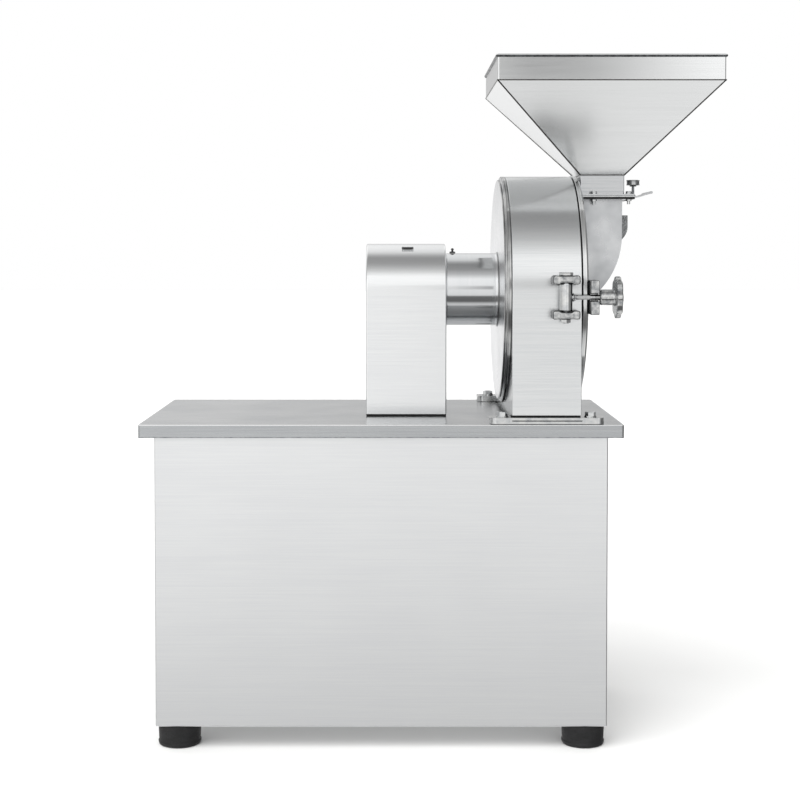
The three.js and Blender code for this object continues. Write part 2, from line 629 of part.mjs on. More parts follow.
function buildChamber() {
  const { step, stepDepth, bore } = BACK_PLATE;
  const stepRadius = casingRadius - stepDepth;
  place(shaftLine, 'chamber_back_plate', turned('x', [
    [bore, plateLeft],
    [stepRadius, plateLeft],
    [stepRadius, plateLeft + step],
    [casingRadius, plateLeft + step],
    [casingRadius, casingLeft],
    [bore, casingLeft],
  ], 48), polished);
  const sealRing = ring('x', bore - GAP, SPINDLE.radius + TURN_GAP, plateLeft + 1, casingLeft - 1, 24);
  place(shaftLine, 'shaft_seal', sealRing, seal);
  place(shaftLine, 'chamber_casing', chamberCasing(), brushed);
  place(shaftLine, 'casing_seal', casingSeal(), seal);
  place(shaftLine, 'foot_flange_near', footFlange(-1), brushed);
  place(shaftLine, 'foot_flange_far', footFlange(1), brushed);
  for (const { name, x, y } of anchorPlaces()) {
    place(shaftLine, name, anchorBolt(), plated).position.set(x, y, 0);
  }
  const screenX = [casingLeft + CASING.endWall + GAP, casingRight - CASING.endWall - SCREEN.endGap];
  const screen = ring('x', screenRadius + SCREEN.thickness, screenRadius, ...screenX, 48);
  place(shaftLine, 'screen_ring', screen, brushed);
  const gasketX = [casingRight + GAP, doorLeft - GAP];
  const gasket = ring('x', casingRadius - GASKET.fromRim, doorHole + GASKET.fromHole, ...gasketX, 48);
  place(shaftLine, 'door_gasket', gasket, seal);
}

function hammer() {
  const face = rotorRight + GAP;
  const end = face + CASING.width - HAMMER.doorGap;
  const tip = screenRadius - HAMMER.tipGap;
  const root = statorRadius + HAMMER.rootGap;
  const foot = statorRadius - HAMMER.foot;
  const outline = new THREE.Shape([
    new THREE.Vector2(foot, face),
    new THREE.Vector2(tip, face),
    new THREE.Vector2(tip, end),
    new THREE.Vector2(root, end),
    new THREE.Vector2(root, face + HAMMER.footThickness),
    new THREE.Vector2(foot, face + HAMMER.footThickness),
  ]);
  return prism('y', outline, -HAMMER.thickness / 2, HAMMER.thickness / 2);
}

function buildRotor() {
  const bore = SPINDLE.rotorSeat + GAP;
  const rim = screenRadius - ROTOR.fromScreen;
  place(shaftLine, 'rotor_disc', turned('x', [
    [bore, rotorLeft],
    [ROTOR.hub, rotorLeft],
    [ROTOR.hub, rotorLeft + ROTOR.hubLength],
    [rim, rotorLeft + ROTOR.hubLength],
    [rim, rotorRight],
    [bore, rotorRight],
  ], 48), groundSteel);
  for (let i = 0; i < HAMMER.count; i += 1) {
    place(shaftLine, `hammer_${i + 1}`, hammer(), groundSteel)
      .rotation.x = ((i + 0.5) * Math.PI * 2) / HAMMER.count;
  }
  const nutX = [rotorRight + GAP, rotorRight + GAP + NUT.thickness];
  const nut = cut(cylinder('x', NUT.radius, ...nutX, 6), cylinder('x', bore, ...grow(nutX, 1), 32));
  place(shaftLine, 'rotor_nut', nut, plated);
}

// ------------------------------------------------------------------ door, stator and hinge

function doorDisc() {
  const { chamfer, feedHalf, feedLow, feedHigh } = DOOR;
  const disc = turned('x', [
    [0, doorLeft],
    [doorRadius, doorLeft],
    [doorRadius, doorRight - chamfer],
    [doorRadius - chamfer, doorRight],
    [0, doorRight],
  ], 48);
  const feedHole = block(
    grow([doorLeft, doorRight], 1),
    mirrored(feedHalf),
    [bendHeight - feedLow, bendHeight - feedHigh],
  );
  return cut(disc, feedHole);
}

function statorRing() {
  const step = (Math.PI * 2) / STATOR.teeth;
  const root = statorRadius - STATOR.tooth;
  const corners = [];
  for (let i = 0; i < STATOR.teeth; i += 1) {
    for (const [radius, turn] of [[root, 0], [statorRadius, 0.2], [statorRadius, 0.45], [root, 0.65]]) {
      const angle = (i + turn) * step;
      corners.push(new THREE.Vector2(radius * Math.cos(angle), radius * Math.sin(angle)));
    }
  }
  const outline = new THREE.Shape(corners);
  outline.holes.push(new THREE.Path().absarc(0, 0, statorRadius - STATOR.wall, 0, Math.PI * 2));
  return prism('x', outline, doorLeft - CASING.width + STATOR.rotorGap, doorLeft - GAP, 16);
}

const hingeCentre = [hingeAt.x, hingeAt.y, 0];

function hingeBracket() {
  const { radius, pin, bracket, leaf, gap, plate, plateFar, plateNear, arm } = HINGE;
  const wall = casingRadius + GAP;
  const baseX = [casingRight - plateFar, casingRight - plateNear];
  const base = block(baseX, [wall, wall + plate], mirrored(bracket));
  const knuckles = [[leaf + gap, bracket], [-bracket, -leaf - gap]].flatMap((z) => [
    cylinder('z', radius, ...z, 24, hingeCentre),
    block([casingRight - arm, hingeAt.x], [wall + plate - 1, hingeAt.y], z),
  ]);
  return cut(join(base, ...knuckles), cylinder('z', pin + GAP, ...mirrored(bracket + 1), 24, hingeCentre));
}

function doorHingeLeaf() {
  const { radius, pin, leaf, leafReach } = HINGE;
  const strapX = [doorRight + GAP, hingeAt.x + radius - 1];
  const strap = block(strapX, [hingeAt.y - leafReach, hingeAt.y], mirrored(leaf));
  const knuckle = cylinder('z', radius, ...mirrored(leaf), 24, hingeCentre);
  return cut(join(strap, knuckle), cylinder('z', pin + GAP, ...mirrored(leaf + 1), 24, hingeCentre));
}

function hingePin() {
  const { pin, bracket, pinHead, pinEnd } = HINGE;
  return turned('z', [
    [0, -bracket - pinEnd],
    [pin, -bracket - pinEnd],
    [pin, bracket + GAP],
    [pin + pinHead, bracket + GAP],
    [pin + pinHead, bracket + pinEnd],
    [0, bracket + pinEnd],
  ], 24, hingeCentre);
}

// ------------------------------------------------------------------ feed chute, gate and hopper

// The side of the chute: down from its top, then curving to the door. An inset outline is the inside.
function chuteOutline(inset, left) {
  const radius = CHUTE.bendRadius - inset;
  const right = chuteRight - inset;
  const centreX = chuteRight - CHUTE.bendRadius;
  const endAngle = Math.acos((left - centreX) / radius);
  const top = chuteTop + (inset ? 1 : 0);
  // Drawn as (Z, X), the order that a prism along Y takes.
  const outline = new THREE.Shape();
  outline.moveTo(top, left);
  outline.lineTo(top, right);
  outline.lineTo(bendHeight, right);
  for (let i = 1; i <= CHUTE.steps; i += 1) {
    const angle = (endAngle * i) / CHUTE.steps;
    outline.lineTo(bendHeight - radius * Math.sin(angle), centreX + radius * Math.cos(angle));
  }
  return outline;
}

function feedChute() {
  const left = doorRight + GAP;
  const { halfWidth, wall } = CHUTE;
  const mouthZ = grow([chuteTop, gateLow], 1);
  const flange = block(plateX, mirrored(PLATE_FLANGE.halfWidth), [chuteTop - 1, gateLow]);
  const guides = [-1, 1].map((side) => {
    const y = onSide(side, GATE.halfWidth + GATE.guideGap, PLATE_FLANGE.halfWidth);
    return block(plateX, y, [gateLow - 1, throatBase - GAP]);
  });
  const outer = join(prism('y', chuteOutline(0, left), -halfWidth, halfWidth), flange, ...guides);
  const inside = prism('y', chuteOutline(wall, left - 1), wall - halfWidth, halfWidth - wall);
  const mouth = block([throatLeft, chuteRight - wall], mirrored(halfWidth - wall), mouthZ);
  return cut(outer, inside, mouth);
}

function hopperShell() {
  const { length, width, slope, band, wall, lip, lipHeight } = HOPPER;
  const throatX = [throatLeft, throatRight];
  const half = CHUTE.halfWidth;
  const topX = [hopperMiddle - length / 2, hopperMiddle + length / 2];
  const slopeTop = throatTop + slope;
  const rim = slopeTop + band;
  const inner = -THROAT.wall;
  const outer = join(
    block(plateX, mirrored(PLATE_FLANGE.halfWidth), [throatBase, throatBase + PLATE_FLANGE.thickness]),
    block(throatX, mirrored(half), [throatBase, throatTop]),
    funnel(throatX, half, throatTop, topX, width / 2, slopeTop),
    block(topX, mirrored(width / 2), [slopeTop, rim]),
    block(grow(topX, lip), mirrored(width / 2 + lip), [rim - lipHeight, rim]),
  );
  return cut(
    outer,
    block(grow(throatX, inner), mirrored(half + inner), [throatBase - 1, throatTop + 1]),
    funnel(grow(throatX, inner), half + inner, throatTop, grow(topX, -wall), width / 2 - wall, slopeTop + 1),
    block(grow(topX, -wall), mirrored(width / 2 - wall), [slopeTop, rim + 1]),
  );
}

function slideGate() {
  const bend = plateX[1] + GATE.beyondFlange;
  const end = bend + GATE.lip;
  const [low, high] = [gateBase, gateBase + GATE.thickness];
  const hemTop = high + GATE.lipRise;
  const outline = new THREE.Shape([
    new THREE.Vector2(low, plateX[0] + 1),
    new THREE.Vector2(high, plateX[0] + 1),
    new THREE.Vector2(high, bend),
    new THREE.Vector2(hemTop, end - 2 * GATE.hem),
    new THREE.Vector2(hemTop, end),
    new THREE.Vector2(hemTop - GATE.hem, end),
    new THREE.Vector2(hemTop - GATE.hem, end - 2 * GATE.hem + GATE.thickness),
    new THREE.Vector2(low, bend + GATE.thickness / 2),
  ]);
  return prism('y', outline, -GATE.halfWidth, GATE.halfWidth);
}

function gateKnob() {
  const { foot, stem, head, footHeight, stemHeight, height } = GATE_KNOB;
  const base = gateBase + GATE.thickness + GAP;
  const neck = base + footHeight + stemHeight;
  return turned('z', [
    [0, base],
    [foot, base],
    [stem, base + footHeight],
    [stem, neck],
    [head, neck],
    [head, neck + height],
    [0, neck + height],
  ], 16, [plateX[1] + GATE_KNOB.fromFlange, 0, 0]);
}

function scoopOutline(inset, left) {
  const front = chuteRight + GAP + SCOOP.reach - inset;
  const top = chuteTop - SCOOP.top + (inset ? 1 : 0);
  const bend = chuteTop - SCOOP.bend;
  const low = chuteTop - SCOOP.low;
  // Drawn as (Z, X), the order that a prism along Y takes.
  const outline = new THREE.Shape();
  outline.moveTo(top, left);
  outline.lineTo(top, front);
  outline.lineTo(bend, front);
  outline.quadraticCurveTo((low + bend) / 2, front, low + 2 * inset, left);
  return outline;
}

function airScoop() {
  const { halfWidth, wall } = SCOOP;
  const left = chuteRight + GAP;
  return cut(
    prism('y', scoopOutline(0, left), ...mirrored(halfWidth), 6),
    prism('y', scoopOutline(wall, left + wall), ...mirrored(halfWidth - wall), 6),
  );
}

function buildDoor() {
  place(shaftLine, 'door_disc', doorDisc(), brushed);
  place(shaftLine, 'stator_ring', statorRing(), groundSteel);
  place(shaftLine, 'hinge_bracket', hingeBracket(), brushed);
  place(shaftLine, 'door_hinge_leaf', doorHingeLeaf(), brushed);
  place(shaftLine, 'hinge_pin', hingePin(), plated);
  place(shaftLine, 'feed_chute', feedChute(), brushed);
  place(shaftLine, 'hopper', hopperShell(), brushed);
  place(shaftLine, 'slide_gate', slideGate(), brushed);
  place(shaftLine, 'gate_knob', gateKnob(), blackPlastic);
  place(shaftLine, 'air_scoop', airScoop(), groundSteel);
}

// ------------------------------------------------------------------ swing-bolt clamp

const earGap = CLAMP.height / 2;
const clampCentre = [clampAt.x, clampAt.y, 0];

function clampEar(z) {
  const wall = -casingRadius - GAP;
  const [left, right] = span(clampAt.x, EAR.length);
  const plate = prism('z', roundedRectangle([left, wall - EAR.reach], [right, wall], EAR.corner), ...z, 5);
  return cut(plate, cylinder('z', CLAMP.pin + GAP, ...grow(z, 1), 16, clampCentre));
}

function clampBarrel() {
  const z = span(clampAt.z, CLAMP.height - 4 * GAP);
  const socketX = [clampAt.x, clampAt.x + CLAMP.barrel + 1];
  const socket = cylinder('x', CLAMP.rod + TURN_GAP, ...socketX, 16, [0, clampAt.y, clampAt.z]);
  return cut(ring('z', CLAMP.barrel, CLAMP.pin + GAP, ...z, 24, clampCentre), socket);
}

function clampPin() {
  const { head, headHeight, tail } = CLAMP_PIN;
  const top = clampAt.z + earGap + EAR.thickness + GAP;
  const bottom = clampAt.z - earGap - EAR.thickness - tail;
  return join(
    cylinder('z', CLAMP.pin, bottom, top + 1, 16, clampCentre),
    cylinder('z', head, top, top + headHeight, 6, clampCentre),
  );
}

function clampFork() {
  const face = doorRight + GAP;
  const body = block(
    [face, face + FORK.depth],
    [clampAt.y - FORK.beyondRod, FORK.inward - doorRadius],
    [-FORK.below, FORK.above],
  );
  const slot = block(
    grow([face, face + FORK.depth], 1),
    [clampAt.y - FORK.beyondRod - 1, clampAt.y + FORK.slot],
    span(clampAt.z, 2 * FORK.slot),
  );
  return cut(body, slot);
}

const hubLeft = doorRight + GAP + FORK.depth + HAND_NUT.gap;

function handNut() {
  const knobLeft = hubLeft + HAND_NUT.hubLength;
  const steps = HAND_NUT.lobes * HAND_NUT.pointsPerLobe;
  const points = Array.from({ length: steps }, (_, i) => {
    const angle = (i / steps) * Math.PI * 2;
    const radius = HAND_NUT.radius - (HAND_NUT.lobe * (1 - Math.cos(HAND_NUT.lobes * angle))) / 2;
    return new THREE.Vector2(radius * Math.cos(angle), radius * Math.sin(angle));
  });
  const knob = prism('x', new THREE.Shape(points), knobLeft, knobLeft + HAND_NUT.thickness);
  const hub = cylinder('x', HAND_NUT.hub, hubLeft, knobLeft + 1, 24);
  const bore = cylinder('x', CLAMP.rod + GAP, hubLeft - 1, hubLeft + HAND_NUT.rodGrip + GAP, 16);
  return cut(join(knob, hub), bore);
}

function buildClamp() {
  const upper = clampAt.z + earGap;
  const lower = clampAt.z - earGap;
  place(shaftLine, 'clamp_ear_upper', clampEar([upper, upper + EAR.thickness]), plated);
  place(shaftLine, 'clamp_ear_lower', clampEar([lower - EAR.thickness, lower]), plated);
  place(shaftLine, 'clamp_pin', clampPin(), plated);
  place(shaftLine, 'clamp_barrel', clampBarrel(), plated);
  place(shaftLine, 'clamp_fork', clampFork(), plated);
  const rodX = [clampAt.x + CLAMP.pin + 2 * TURN_GAP, hubLeft + HAND_NUT.rodGrip];
  place(shaftLine, 'clamp_rod', cylinder('x', CLAMP.rod, ...rodX, 16), plated)
    .position.set(0, clampAt.y, clampAt.z);
  place(shaftLine, 'hand_nut', handNut(), plated).position.set(0, clampAt.y, clampAt.z);
}

// ------------------------------------------------------------------ discharge chute and drawer

function dischargeChute() {
  const { wall, lowShift, lowLength, drawerGap, sideGap, flange } = DISCHARGE;
  const top = cabinetTop;
  const topX = grow(skirt.x, wall - SKIRT.wall);
  const topHalf = skirt.half + wall - SKIRT.wall;
  const lowX = span(casingMiddle + lowShift, lowLength);
  const lowHalf = drawerHalf - sideGap;
  const bottom = drawerTop + drawerGap;
  const outer = funnel(lowX, lowHalf, bottom, topX, topHalf, top);
  const rim = block(grow(topX, flange), mirrored(topHalf + flange), [top - wall, top]);
  const insideX = [grow(lowX, -wall), grow(topX, -wall)];
  const inside = funnel(insideX[0], lowHalf - wall, bottom - 1, insideX[1], topHalf - wall, top + 1);
  return cut(join(outer, rim), inside);
}

function collectionDrawer() {
  const { length, wall, runner, notch, notchDepth } = DRAWER;
  const front = CABINET.length / 2 - GAP;
  const x = [front - length, front];
  const z = grow([drawerLow, drawerTop], -2 * GAP);
  const runners = mirrored(drawerHalf - 1.5 * runner).map((middle) => block(
    [x[0] + runner, front - 2 * CABINET.wall - runner],
    span(middle, runner),
    [cabinetFloor + GAP, z[0] + 1],
  ));
  const lip = block([front - wall, front], mirrored(drawerHalf), [cabinetFloor + GAP, z[0] + 1]);
  const box = join(block(x, mirrored(drawerHalf), z), lip, ...runners);
  const inside = block(grow(x, -wall), mirrored(drawerHalf - wall), [z[0] + wall, z[1] + 1]);
  const handNotch = block([front - 2 * wall, front + 1], mirrored(notch / 2), [z[1] - notchDepth, z[1] + 1]);
  return cut(box, inside, handNotch);
}

function buildDischarge() {
  place(machine, 'discharge_chute', dischargeChute(), brushed);
  place(machine, 'collection_drawer', collectionDrawer(), brushed);
}

// ------------------------------------------------------------------ assembly

buildCabinet();
buildServiceDoor();
buildDrive();
buildSpindleLine();
buildChamber();
buildRotor();
buildDoor();
buildClamp();
buildDischarge();

const mill = new THREE.Group();
const overall = new THREE.Box3().setFromObject(machine, true);
machine.position.set(-(overall.min.x + overall.max.x) / 2, -(overall.min.y + overall.max.y) / 2, 0);
mill.add(machine);

export default mill;
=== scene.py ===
# Looks of a stainless hammer mill on a cabinet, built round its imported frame.
# Shapes are drawn in millimetres in the frame of the part and become metres when a piece is made.
import math

import bmesh
import bpy
from mathutils import Matrix, Vector


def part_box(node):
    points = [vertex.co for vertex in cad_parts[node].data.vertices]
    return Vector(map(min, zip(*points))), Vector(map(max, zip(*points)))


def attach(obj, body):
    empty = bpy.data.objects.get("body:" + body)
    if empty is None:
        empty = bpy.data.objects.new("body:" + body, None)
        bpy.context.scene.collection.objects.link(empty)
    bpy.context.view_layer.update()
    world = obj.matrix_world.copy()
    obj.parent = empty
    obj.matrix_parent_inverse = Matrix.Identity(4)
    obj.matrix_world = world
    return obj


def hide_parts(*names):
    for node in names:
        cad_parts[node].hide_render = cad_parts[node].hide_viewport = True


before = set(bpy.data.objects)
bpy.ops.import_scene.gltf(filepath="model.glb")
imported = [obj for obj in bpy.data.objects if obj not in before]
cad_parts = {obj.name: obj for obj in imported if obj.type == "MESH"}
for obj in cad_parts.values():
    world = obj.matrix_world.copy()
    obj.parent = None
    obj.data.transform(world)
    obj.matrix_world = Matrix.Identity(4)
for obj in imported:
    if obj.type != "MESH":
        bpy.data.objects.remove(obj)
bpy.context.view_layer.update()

MM = 0.001
SHARP = math.radians(32)  # an edge that turns more than this stays crisp


def extent(node):
    """The lowest and highest X, Y and Z of a CAD node, in millimetres."""
    low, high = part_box(node)
    return [(low[i] / MM, high[i] / MM) for i in range(3)]


def middle(span):
    return (span[0] + span[1]) / 2


# ---------------------------------------------------------------- drawing shapes


def filleted(corners, steps=5):
    """A closed outline through corners (a, b, radius), each rounded by an arc."""
    outline = []
    for i, (a, b, radius) in enumerate(corners):
        here = Vector((a, b))
        before = Vector(corners[i - 1][:2]) - here
        after = Vector(corners[(i + 1) % len(corners)][:2]) - here
        if radius <= 0:
            outline.append((a, b))
            continue
        half = before.angle(after) / 2
        reach = min(radius / math.tan(half), 0.49 * before.length, 0.49 * after.length)
        before.normalize()
        after.normalize()
        centre = here + (before + after).normalized() * (reach / math.cos(half))
        start = here + before * reach - centre
        end = here + after * reach - centre
        swing = start.length
        first = math.atan2(start.y, start.x)
        sweep = math.atan2(end.y, end.x) - first
        sweep = (sweep + math.pi) % (2 * math.pi) - math.pi
        for k in range(steps + 1):
            angle = first + sweep * k / steps
            outline.append((centre.x + swing * math.cos(angle), centre.y + swing * math.sin(angle)))
    return outline


def arc(centre, radius, first, last, steps):
    """Points on an arc, angles in degrees."""
    angles = [math.radians(first + (last - first) * k / steps) for k in range(steps + 1)]
    return [(centre[0] + radius * math.cos(a), centre[1] + radius * math.sin(a)) for a in angles]


def along(axis, u, v, depth):
    """The point at (u, v) across an axis and depth along it. Across X that is (Y, Z)."""
    return {"x": (depth, u, v), "y": (u, depth, v), "z": (u, v, depth)}[axis]


def outward(bm):
    bmesh.ops.recalc_face_normals(bm, faces=bm.faces)
    return bm


def turned(axis, centre, profile, segments=96):
    """A solid of revolution. centre is across the axis; the closed profile lists (radius, place along)."""
    bm = bmesh.new()
    rings = []
    for radius, place in profile:
        count = segments if radius > 1e-6 else 1
        angles = [2 * math.pi * k / segments for k in range(count)]
        rings.append([
            bm.verts.new(along(
                axis, centre[0] + radius * math.cos(a), centre[1] + radius * math.sin(a), place))
            for a in angles
        ])
    for one, two in zip(rings, rings[1:] + rings[:1]):
        if len(one) == 1 and len(two) == 1:
            continue
        for k in range(segments):
            corners = [one[k % len(one)], one[(k + 1) % len(one)], two[(k + 1) % len(two)], two[k % len(two)]]
            face = list(dict.fromkeys(corners))
            if len(face) > 2:
                bm.faces.new(face)
    return outward(bm)


def prism(axis, outline, start, end, edge=0.0, steps=3):
    """A straight bar with the given outline across the axis, its two end edges rounded."""
    bm = bmesh.new()
    ends = [[bm.verts.new(along(axis, u, v, d)) for u, v in outline] for d in (start, end)]
    bm.faces.new(ends[0])
    bm.faces.new(ends[1])
    for k in range(len(outline)):
        n = (k + 1) % len(outline)
        bm.faces.new([ends[0][k], ends[0][n], ends[1][n], ends[1][k]])
    outward(bm)
    if edge:
        rims = [e for e in bm.edges if any(all(v in rim for v in e.verts) for rim in ends)]
        bevel(bm, rims, edge, steps)
    return bm


def spun(profile, segments=96, steps=3, axis="x", centre=None):
    """A turned solid, about the shaft unless told. Its corners are (radius, place along, fillet)."""
    return turned(axis, centre or SHAFT, filleted(profile, steps), segments)


def cylinder(radius, start, end, segments=64, centre=None):
    """A plain cylinder along X, about the shaft unless told."""
    return turned("x", centre or SHAFT, [(0, start), (radius, start), (radius, end), (0, end)], segments)


def ring(inner, outer, x, edge, segments=96, steps=3):
    """A flat ring about the shaft, its four edges rounded."""
    corners = [(inner, x[0], edge), (outer, x[0], edge), (outer, x[1], edge), (inner, x[1], edge)]
    return spun(corners, segments, steps)


def hexagon(centre, radius, start, end, edge, first=0, axis="z", steps=3):
    """A hexagonal bar, its end edges rounded."""
    outline = [(centre[0] + a, centre[1] + b) for a, b in arc((0, 0), radius, first, first + 300, 5)]
    return prism(axis, outline, start, end, edge, steps)


def level(x, y, by, height, radius):
    """One rectangle for loops(): spans along X and Y, both widened by the same amount on each side."""
    return ((x[0] - by, x[1] + by), (y[0] - by, y[1] + by), height, radius)


def block(x, y, z, edge=0.0, steps=2):
    """A box with the given spans, its edges rounded."""
    bm = bmesh.new()
    bmesh.ops.create_cube(bm, size=1)
    for v in bm.verts:
        v.co = Vector([middle(s) + v.co[i] * (s[1] - s[0]) for i, s in enumerate((x, y, z))])
    if edge:
        bevel(bm, list(bm.edges), edge, steps)
    return bm


def bevel(bm, edges, width, steps):
    bmesh.ops.bevel(
        bm, geom=edges, offset=width, offset_type="OFFSET", segments=steps, profile=0.5,
        affect="EDGES", clamp_overlap=True)
    return bm


def loops(levels, corner_steps=4):
    """A closed skin through level rounded rectangles (x span, y span, z, corner radius), last to first."""
    bm = bmesh.new()
    rings = []
    for (x0, x1), (y0, y1), z, radius in levels:
        corners = [(x0, y0, radius), (x1, y0, radius), (x1, y1, radius), (x0, y1, radius)]
        rings.append([bm.verts.new((a, b, z)) for a, b in filleted(corners, corner_steps)])
    for one, two in zip(rings, rings[1:] + rings[:1]):
        for k in range(len(one)):
            n = (k + 1) % len(one)
            bm.faces.new([one[k], one[n], two[n], two[k]])
    return outward(bm)


def together(*shapes):
    """Several shapes as one, each keeping its own closed skin."""
    whole = bmesh.new()
    for shape in shapes:
        mesh = bpy.data.meshes.new("part")
        shape.to_mesh(mesh)
        whole.from_mesh(mesh)
        bpy.data.meshes.remove(mesh)
        shape.free()
    return whole


def moved(bm, matrix):
    """The shape itself, put through a matrix."""
    bmesh.ops.transform(bm, matrix=matrix, verts=bm.verts)
    return bm


def carved(shape, *tools):
    """The shape with every tool cut out of it."""
    objects = []
    for bm in (shape, *tools):
        mesh = bpy.data.meshes.new("carve")
        bm.to_mesh(mesh)
        bm.free()
        made = bpy.data.objects.new("carve", mesh)
        bpy.context.scene.collection.objects.link(made)
        objects.append(made)
    for tool in objects[1:]:
        cut = objects[0].modifiers.new("cut", "BOOLEAN")
        cut.operation = "DIFFERENCE"
        cut.solver = "EXACT"
        cut.object = tool
    bpy.context.view_layer.update()
    graph = bpy.context.evaluated_depsgraph_get()
    result = bmesh.new()
    result.from_mesh(bpy.data.meshes.new_from_object(objects[0].evaluated_get(graph)))
    bmesh.ops.remove_doubles(result, verts=result.verts, dist=0.001)
    for made in objects:
        bpy.data.objects.remove(made)
    return result


def cad(node):
    """A copy of a CAD node's mesh in millimetres, its loose triangles merged into flat faces."""
    bm = bmesh.new()
    bm.from_mesh(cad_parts[node].data)
    moved(bm, Matrix.Scale(1 / MM, 4))
    bmesh.ops.remove_doubles(bm, verts=bm.verts, dist=0.005)
    bmesh.ops.dissolve_limit(bm, angle_limit=0.01, verts=bm.verts, edges=bm.edges)
    return bm


def softened(node, width=0.5, steps=2, least=0.6):
    """The CAD node's own shape with its sharp edges broken, as a deburred or cast piece has."""
    bm = cad(node)
    sharp = [e for e in bm.edges if len(e.link_faces) == 2 and e.calc_face_angle(0) > least]
    return bevel(bm, sharp, width, steps)


def piece(name, bm, body, slot_name, *finishes, replaces=(), pick=None):
    """Makes the piece: metres, smooth faces with crisp edges, its finishes, its body and what it replaces."""
    moved(bm, Matrix.Scale(MM, 4))
    mesh = bpy.data.meshes.new(name)
    if pick:
        bm.normal_update()
        for face in bm.faces:
            face.material_index = pick(face)
    for face in bm.faces:
        face.smooth = True
    bm.to_mesh(mesh)
    bm.free()
    for finish in finishes:
        mesh.materials.append(finish)
    mesh.set_sharp_from_angle(angle=SHARP)
    made = bpy.data.objects.new(name, mesh)
    bpy.context.scene.collection.objects.link(made)
    even = made.modifiers.new("even", "WEIGHTED_NORMAL")
    even.keep_sharp = True
    bpy.context.view_layer.update()
    graph = bpy.context.evaluated_depsgraph_get()
    made.data = bpy.data.meshes.new_from_object(made.evaluated_get(graph))
    made.modifiers.clear()
    made.data.name = name
    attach(made, body)
    if replaces:
        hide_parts(*replaces)
    return made


def dressed(node, word, bm, body, slot_name, *finishes, pick=None):
    """The piece that stands for one CAD node and is named after it."""
    return piece(f"{node}_{word}", bm, body, slot_name, *finishes, replaces=[node], pick=pick)


# ---------------------------------------------------------------- finishes


def linear(code):
    """An sRGB hex colour as linear red, green, blue and alpha."""
    channels = [int(code[k:k + 2], 16) / 255 for k in (1, 3, 5)]
    return (*[c / 12.92 if c <= 0.04045 else ((c + 0.055) / 1.055) ** 2.4 for c in channels], 1.0)


def add(tree, kind, settings=None, inputs=None):
    """Adds a node with its settings, its input values and its links."""
    made = tree.nodes.new(kind)
    for key, value in (settings or {}).items():
        setattr(made, key, value)
    for key, value in (inputs or {}).items():
        if isinstance(value, bpy.types.NodeSocket):
            tree.links.new(value, made.inputs[key])
        else:
            made.inputs[key].default_value = value
    return made


def calc(tree, operation, *values):
    """One step of arithmetic on sockets or numbers."""
    return add(tree, "ShaderNodeMath", {"operation": operation}, dict(enumerate(values))).outputs[0]


def new_finish(name):
    """An empty material and its node tree."""
    made = bpy.data.materials.new(name)
    made.use_nodes = True
    made.node_tree.nodes.clear()
    return made, made.node_tree


def noise(tree, sizes, detail=2.0, rough=0.5, offset=(0.0, 0.0, 0.0)):
    """Noise whose features are as long as the given sizes, in millimetres along X, Y and Z."""
    place = add(tree, "ShaderNodeTexCoord").outputs["Object"]
    scale = tuple(1 / (s * MM) for s in sizes)
    stretched = add(tree, "ShaderNodeMapping", None, {"Vector": place, "Scale": scale, "Location": offset})
    return add(tree, "ShaderNodeTexNoise", None, {
        "Vector": stretched.outputs["Vector"], "Scale": 1.0, "Detail": detail, "Roughness": rough,
    }).outputs["Fac"]


def ranged(tree, value, low, high, start=0.3, end=0.7):
    """The value brought from start..end to low..high, and held there beyond."""
    return add(tree, "ShaderNodeMapRange", None, {
        "Value": value, "From Min": start, "From Max": end, "To Min": low, "To Max": high,
    }).outputs["Result"]


def mixed(tree, factor, one, two, mode="MIX"):
    """Two colours blended by a factor."""
    made = add(tree, "ShaderNodeMix", {"data_type": "RGBA", "blend_type": mode})
    for index, value in ((0, factor), (6, one), (7, two)):
        if isinstance(value, bpy.types.NodeSocket):
            tree.links.new(value, made.inputs[index])
        else:
            made.inputs[index].default_value = value
    return made.outputs[2]


def tone(tree, value, dark, light):
    """Two hex colours blended by a noise value."""
    return mixed(tree, ranged(tree, value, 0.0, 1.0), linear(dark), linear(light))


def shaded(tree, settings):
    """Ends a material with one surface."""
    surface = add(tree, "ShaderNodeBsdfPrincipled", None, settings)
    add(tree, "ShaderNodeOutputMaterial", None, {"Surface": surface.outputs["BSDF"]})


def bump(tree, height, strength, depth):
    """A bumped normal, its depth in millimetres."""
    return add(tree, "ShaderNodeBump", None, {
        "Height": height, "Strength": strength, "Distance": depth * MM,
    }).outputs["Normal"]


def brushed_steel(name, grain, dark, light, rough, lines, depth, handled=0.06):
    """AISI 304 sheet, belt-brushed: long fine scratches along the grain that pull highlights across it.
    The scratches are drawn 2 to 3 mm wide, coarser than the real 0.1 mm, so that they show."""
    made, tree = new_finish(name)
    long_way = {"x": (1, 0, 0), "y": (0, 1, 0), "z": (0, 0, 1)}[grain]
    streak = noise(tree, [lines + 260 * k for k in long_way], 3.0, 0.65)
    fine = noise(tree, [0.7 + 60 * k for k in long_way], 2.0, 0.5, (3.0, 7.0, 1.0))
    cloud = noise(tree, [150, 150, 110], 2.0, 0.5, (9.0, 2.0, 5.0))
    both = calc(tree, "ADD", streak, ranged(tree, fine, -0.12, 0.12))
    worn = calc(tree, "ADD", both, ranged(tree, cloud, -handled, handled))
    shaded(tree, {
        "Base Color": tone(tree, worn, dark, light),
        "Metallic": 1.0,
        "Roughness": ranged(tree, worn, rough[1], rough[0]),
        "Normal": bump(tree, both, 0.35, depth),
    })
    return made


